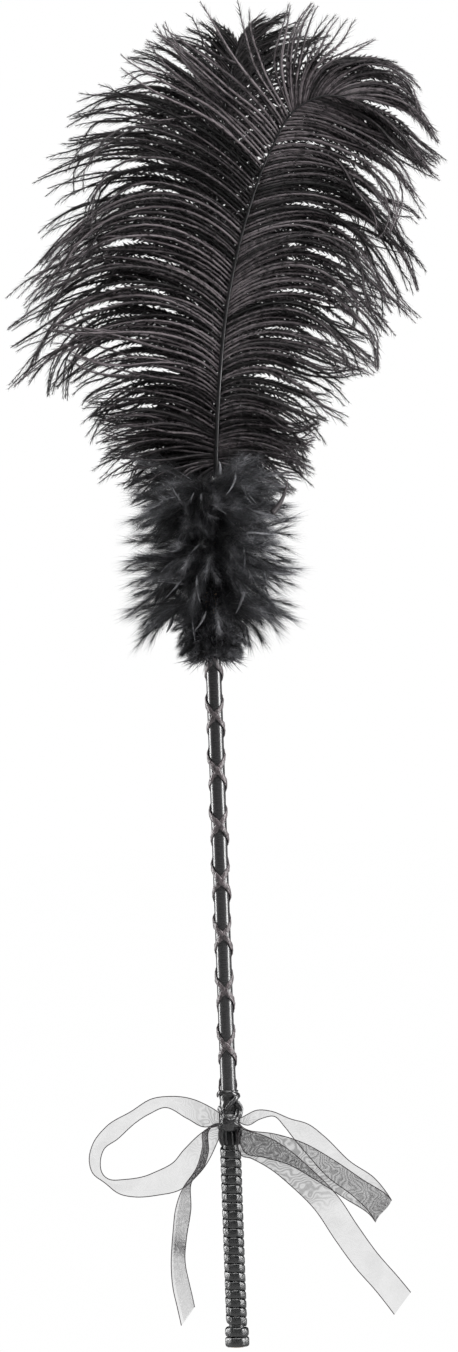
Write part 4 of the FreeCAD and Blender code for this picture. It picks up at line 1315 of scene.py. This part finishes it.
# Folds of cloth gathered over the knot, in millimetres: places along the fold, its width
# and its depth.
KNOT_FOLDS = [
    ([(-4.9, -0.4, 113.0), (-4.0, -3.0, 114.0), (-1.6, -4.5, 114.2), (1.4, -4.6, 113.7),
      (3.2, -3.6, 113.0)], 2.2, 0.9),
    ([(-1.6, -4.6, 99.4), (-1.9, -4.9, 95.5), (-1.4, -4.6, 91.0)], 1.3, 0.9),
    ([(0.6, -4.9, 99.6), (0.8, -5.1, 95.0), (1.2, -4.8, 90.8)], 1.5, 1.0),
    ([(2.4, -4.4, 98.6), (2.9, -4.5, 94.6), (2.6, -4.3, 91.2)], 1.2, 0.9),
    ([(4.3, -1.6, 112.6), (2.6, -4.4, 110.8), (0.4, -5.4, 108.7), (-1.2, -5.6, 106.6)], 2.8, 1.9),
    ([(3.4, -3.6, 109.2), (4.9, -3.9, 106.6), (4.4, -5.6, 103.8), (2.4, -7.0, 102.0)], 3.0, 2.2),
    ([(-4.6, -3.9, 107.3), (-3.0, -6.6, 105.0), (-1.4, -8.3, 102.6), (-0.3, -8.6, 101.0)], 2.7, 1.2),
    ([(-4.8, -5.6, 98.9), (-1.5, -8.6, 100.6), (1.8, -9.0, 102.0), (4.2, -6.6, 103.4)], 2.6, 1.6),
    ([(-3.6, -6.0, 102.4), (0.2, -9.0, 101.4), (2.6, -8.6, 99.6), (4.8, -6.0, 98.2)], 2.4, 1.5),
    ([(-2.6, -6.6, 100.4), (-4.0, -5.6, 98.0), (-4.5, -4.6, 94.6), (-3.4, -4.6, 90.6)], 2.2, 1.4),
    ([(3.2, -6.6, 99.4), (4.4, -5.2, 97.4), (4.7, -3.8, 94.6)], 2.0, 1.3)]


def ribbon_edges(sections, steps):
    """The two edges of a ribbon, smoothed, as arrays of points in metres."""
    rows = [(first[0], depth - lean / 2, first[1], second[0], depth + lean / 2, second[1])
            for first, second, depth, lean in sections]
    both = smooth_line(np.array(rows) * MM, steps)
    return both[:, :3], both[:, 3:]


def lay_ribbon(name, first, second, thickness, folded, gathers, across=9):
    """A thin closed strip between two edge lines, with its width and length as its UV map.
    A folded ribbon is doubled lengthwise: it turns back on itself at its second edge. How
    much the cloth is gathered along its run is kept on the mesh."""
    steps = len(first)
    v = np.linspace(0, 1, across)
    spread, lift = v, 0 * v
    if folded:
        across = 15
        v = np.linspace(0, 1, across)
        spread = np.interp(v, (0, 0.56, 0.60, 1), (0, 1, 1, 0.22))
        lift = np.interp(v, (0, 0.54, 0.62, 1), (0, 0, -0.5, -0.35))
    grid = first[:, None] * (1 - spread)[None, :, None] + second[:, None] * spread[None, :, None]
    middle = (first + second) / 2
    along = unit(np.gradient(middle, axis=0))
    face = unit(np.cross(along, unit(second - first)))
    run = share_of_run(middle)
    ripple = np.sin(run / 0.011)[:, None] * np.sin(v * math.pi * 2)[None] * 0.35
    swell = (lift[None] + ripple) * MM
    grid = grid + face[:, None] * swell[:, :, None]
    index = np.arange(steps * across).reshape(steps, across)
    quads = np.stack([index[:-1, :-1], index[:-1, 1:], index[1:, 1:], index[1:, :-1]], axis=-1)
    gather = np.interp(run / run[-1], *np.array(gathers).T)[:, None] * np.ones((1, across))
    strip = put_mesh(name, grid.reshape(-1, 3), [quads.reshape(-1, 4)],
                     {"gather": gather.reshape(-1)})
    width = np.linalg.norm(second - first, axis=1).mean() * (1.75 if folded else 1.0)
    layer = strip.data.uv_layers.new(name="cloth")
    corners = np.empty(len(strip.data.loops), np.int32)
    strip.data.loops.foreach_get("vertex_index", corners)
    uv = np.stack([np.broadcast_to(v * width, (steps, across)),
                   np.broadcast_to(run[:, None], (steps, across))], axis=-1).reshape(-1, 2)
    layer.data.foreach_set("uv", uv[corners].astype(np.float32).ravel())
    apply_modifier(strip, "SOLIDIFY", thickness=thickness, offset=0.0)
    finish_shape(strip, 80.0)
    return strip, float(run[-1])


class DUSTER_OT_bow(bpy.types.Operator):
    """Builds the organza ribbons of the bow, their edge threads, the band and the knot"""

    bl_idname = "duster.bow"
    bl_label = "Bow"

    def execute(self, context):
        sizes = context.scene.duster_trim
        cloth = organza_material("sheer_organza")
        thread = thread_material("edge_thread")
        for node, sections, steps, folded, gathers in RIBBONS:
            first, second = ribbon_edges(sections, steps)
            ribbon, run = lay_ribbon(node.replace("bow", "ribbon"), first, second,
                                     sizes.cloth_thickness, folded, gathers)
            fit_to_wand(ribbon, cloth, node)
            edges = Growth()
            lines = np.stack([first, second])
            tone = np.ones((2, steps))
            edges.stems(lines, sizes.thread_width * tone, tone, flatness=1.0)
            hem = edges.finish(node.replace("bow", "hem"))
            fit_to_wand(hem, thread)
        self.add_band()
        self.add_knot()
        return {"FINISHED"}

    def add_band(self):
        """The turn of ribbon that goes round the handle under the knot."""
        low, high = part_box("bow_band")
        tall = high.z - low.z
        band = ring("knot_band", high.x - 0.0004, 0.0004, (low.z + high.z) / 2, tall=tall / 0.0008)
        crumple(band, 0.0018, 0.0006)
        finish_shape(band, 80.0)
        fit_to_wand(band, bunched_material("bunched_organza"), "bow_band")

    def add_knot(self):
        """The knot, with folds of cloth gathered over it."""
        low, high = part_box("bow_knot")
        size = high - low
        bpy.ops.object.select_all(action="DESELECT")
        bpy.ops.mesh.primitive_uv_sphere_add(segments=64, ring_count=40, radius=0.5,
                                             location=(low + high) / 2,
                                             scale=(size.x * 0.66, size.y * 0.70, size.z * 0.70))
        knot = name_new("knot")
        bpy.ops.object.transform_apply(location=True, rotation=True, scale=True)
        folds = []
        for number, (places, width, depth) in enumerate(KNOT_FOLDS):
            line = smooth_line(np.array(places) * MM, 24)
            folds.append(follow_line(f"knot_fold_{number}", line, depth * MM, width * MM, tip=0.75,
                                     sides=20, cuts=30))
        join_to(knot, folds)
        crumple(knot, 0.0022, 0.0005)
        finish_shape(knot, 80.0)
        fit_to_wand(knot, bunched_material("knotted_organza"), "bow_knot")


# ---- hidden pieces ---------------------------------------------------------


class DUSTER_OT_inner(bpy.types.Operator):
    """Gives the rod, glue, quill stems, binding and boa cord their finishes"""

    bl_idname = "duster.inner"
    bl_label = "Inner pieces"

    def execute(self, context):
        wood = wood_material("turned_wood")
        thread = smooth_cord_material("binding_thread")
        quill = quill_material("stem_quill", (0.004, 0.004, 0.005), (0.05, 0.048, 0.05))
        glue = glossy_material("set_glue")
        finishes = {"core_rod": wood, "glue_bead": glue, "quill_binding": thread,
                    "boa_cord": thread, "front_quill_stem": quill, "back_quill_stem": quill}
        for node, material in finishes.items():
            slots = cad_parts[node].data.materials
            slots.clear()
            slots.append(material)
        return {"FINISHED"}


# ---- panel and run ---------------------------------------------------------

OPERATORS = (DUSTER_OT_stage, DUSTER_OT_plumes, DUSTER_OT_boa, DUSTER_OT_shaft,
             DUSTER_OT_grip, DUSTER_OT_bow, DUSTER_OT_inner)


class DUSTER_PT_panel(bpy.types.Panel):
    """Lists the steps that build the duster"""

    bl_idname = "DUSTER_PT_panel"
    bl_label = "Feather Duster"
    bl_space_type = "VIEW_3D"
    bl_region_type = "UI"
    bl_category = "Duster"

    def draw(self, context):
        for operator in OPERATORS:
            self.layout.operator(operator.bl_idname)


SETTINGS = {"duster_plumes": DusterPlumeSettings, "duster_boa": DusterBoaSettings,
            "duster_trim": DusterTrimSettings, "duster_colours": DusterColourSettings}
CLASSES = (*SETTINGS.values(), *OPERATORS, DUSTER_PT_panel)


def register():
    for item in CLASSES:
        bpy.utils.register_class(item)
    for name, group in SETTINGS.items():
        setattr(bpy.types.Scene, name, PointerProperty(type=group))


def unregister():
    for name in SETTINGS:
        delattr(bpy.types.Scene, name)
    for item in reversed(CLASSES):
        bpy.utils.unregister_class(item)


def main():
    register()
    for operator in OPERATORS:
        group, name = operator.bl_idname.split(".")
        getattr(getattr(bpy.ops, group), name)()


if __name__ == "__main__":
    main()
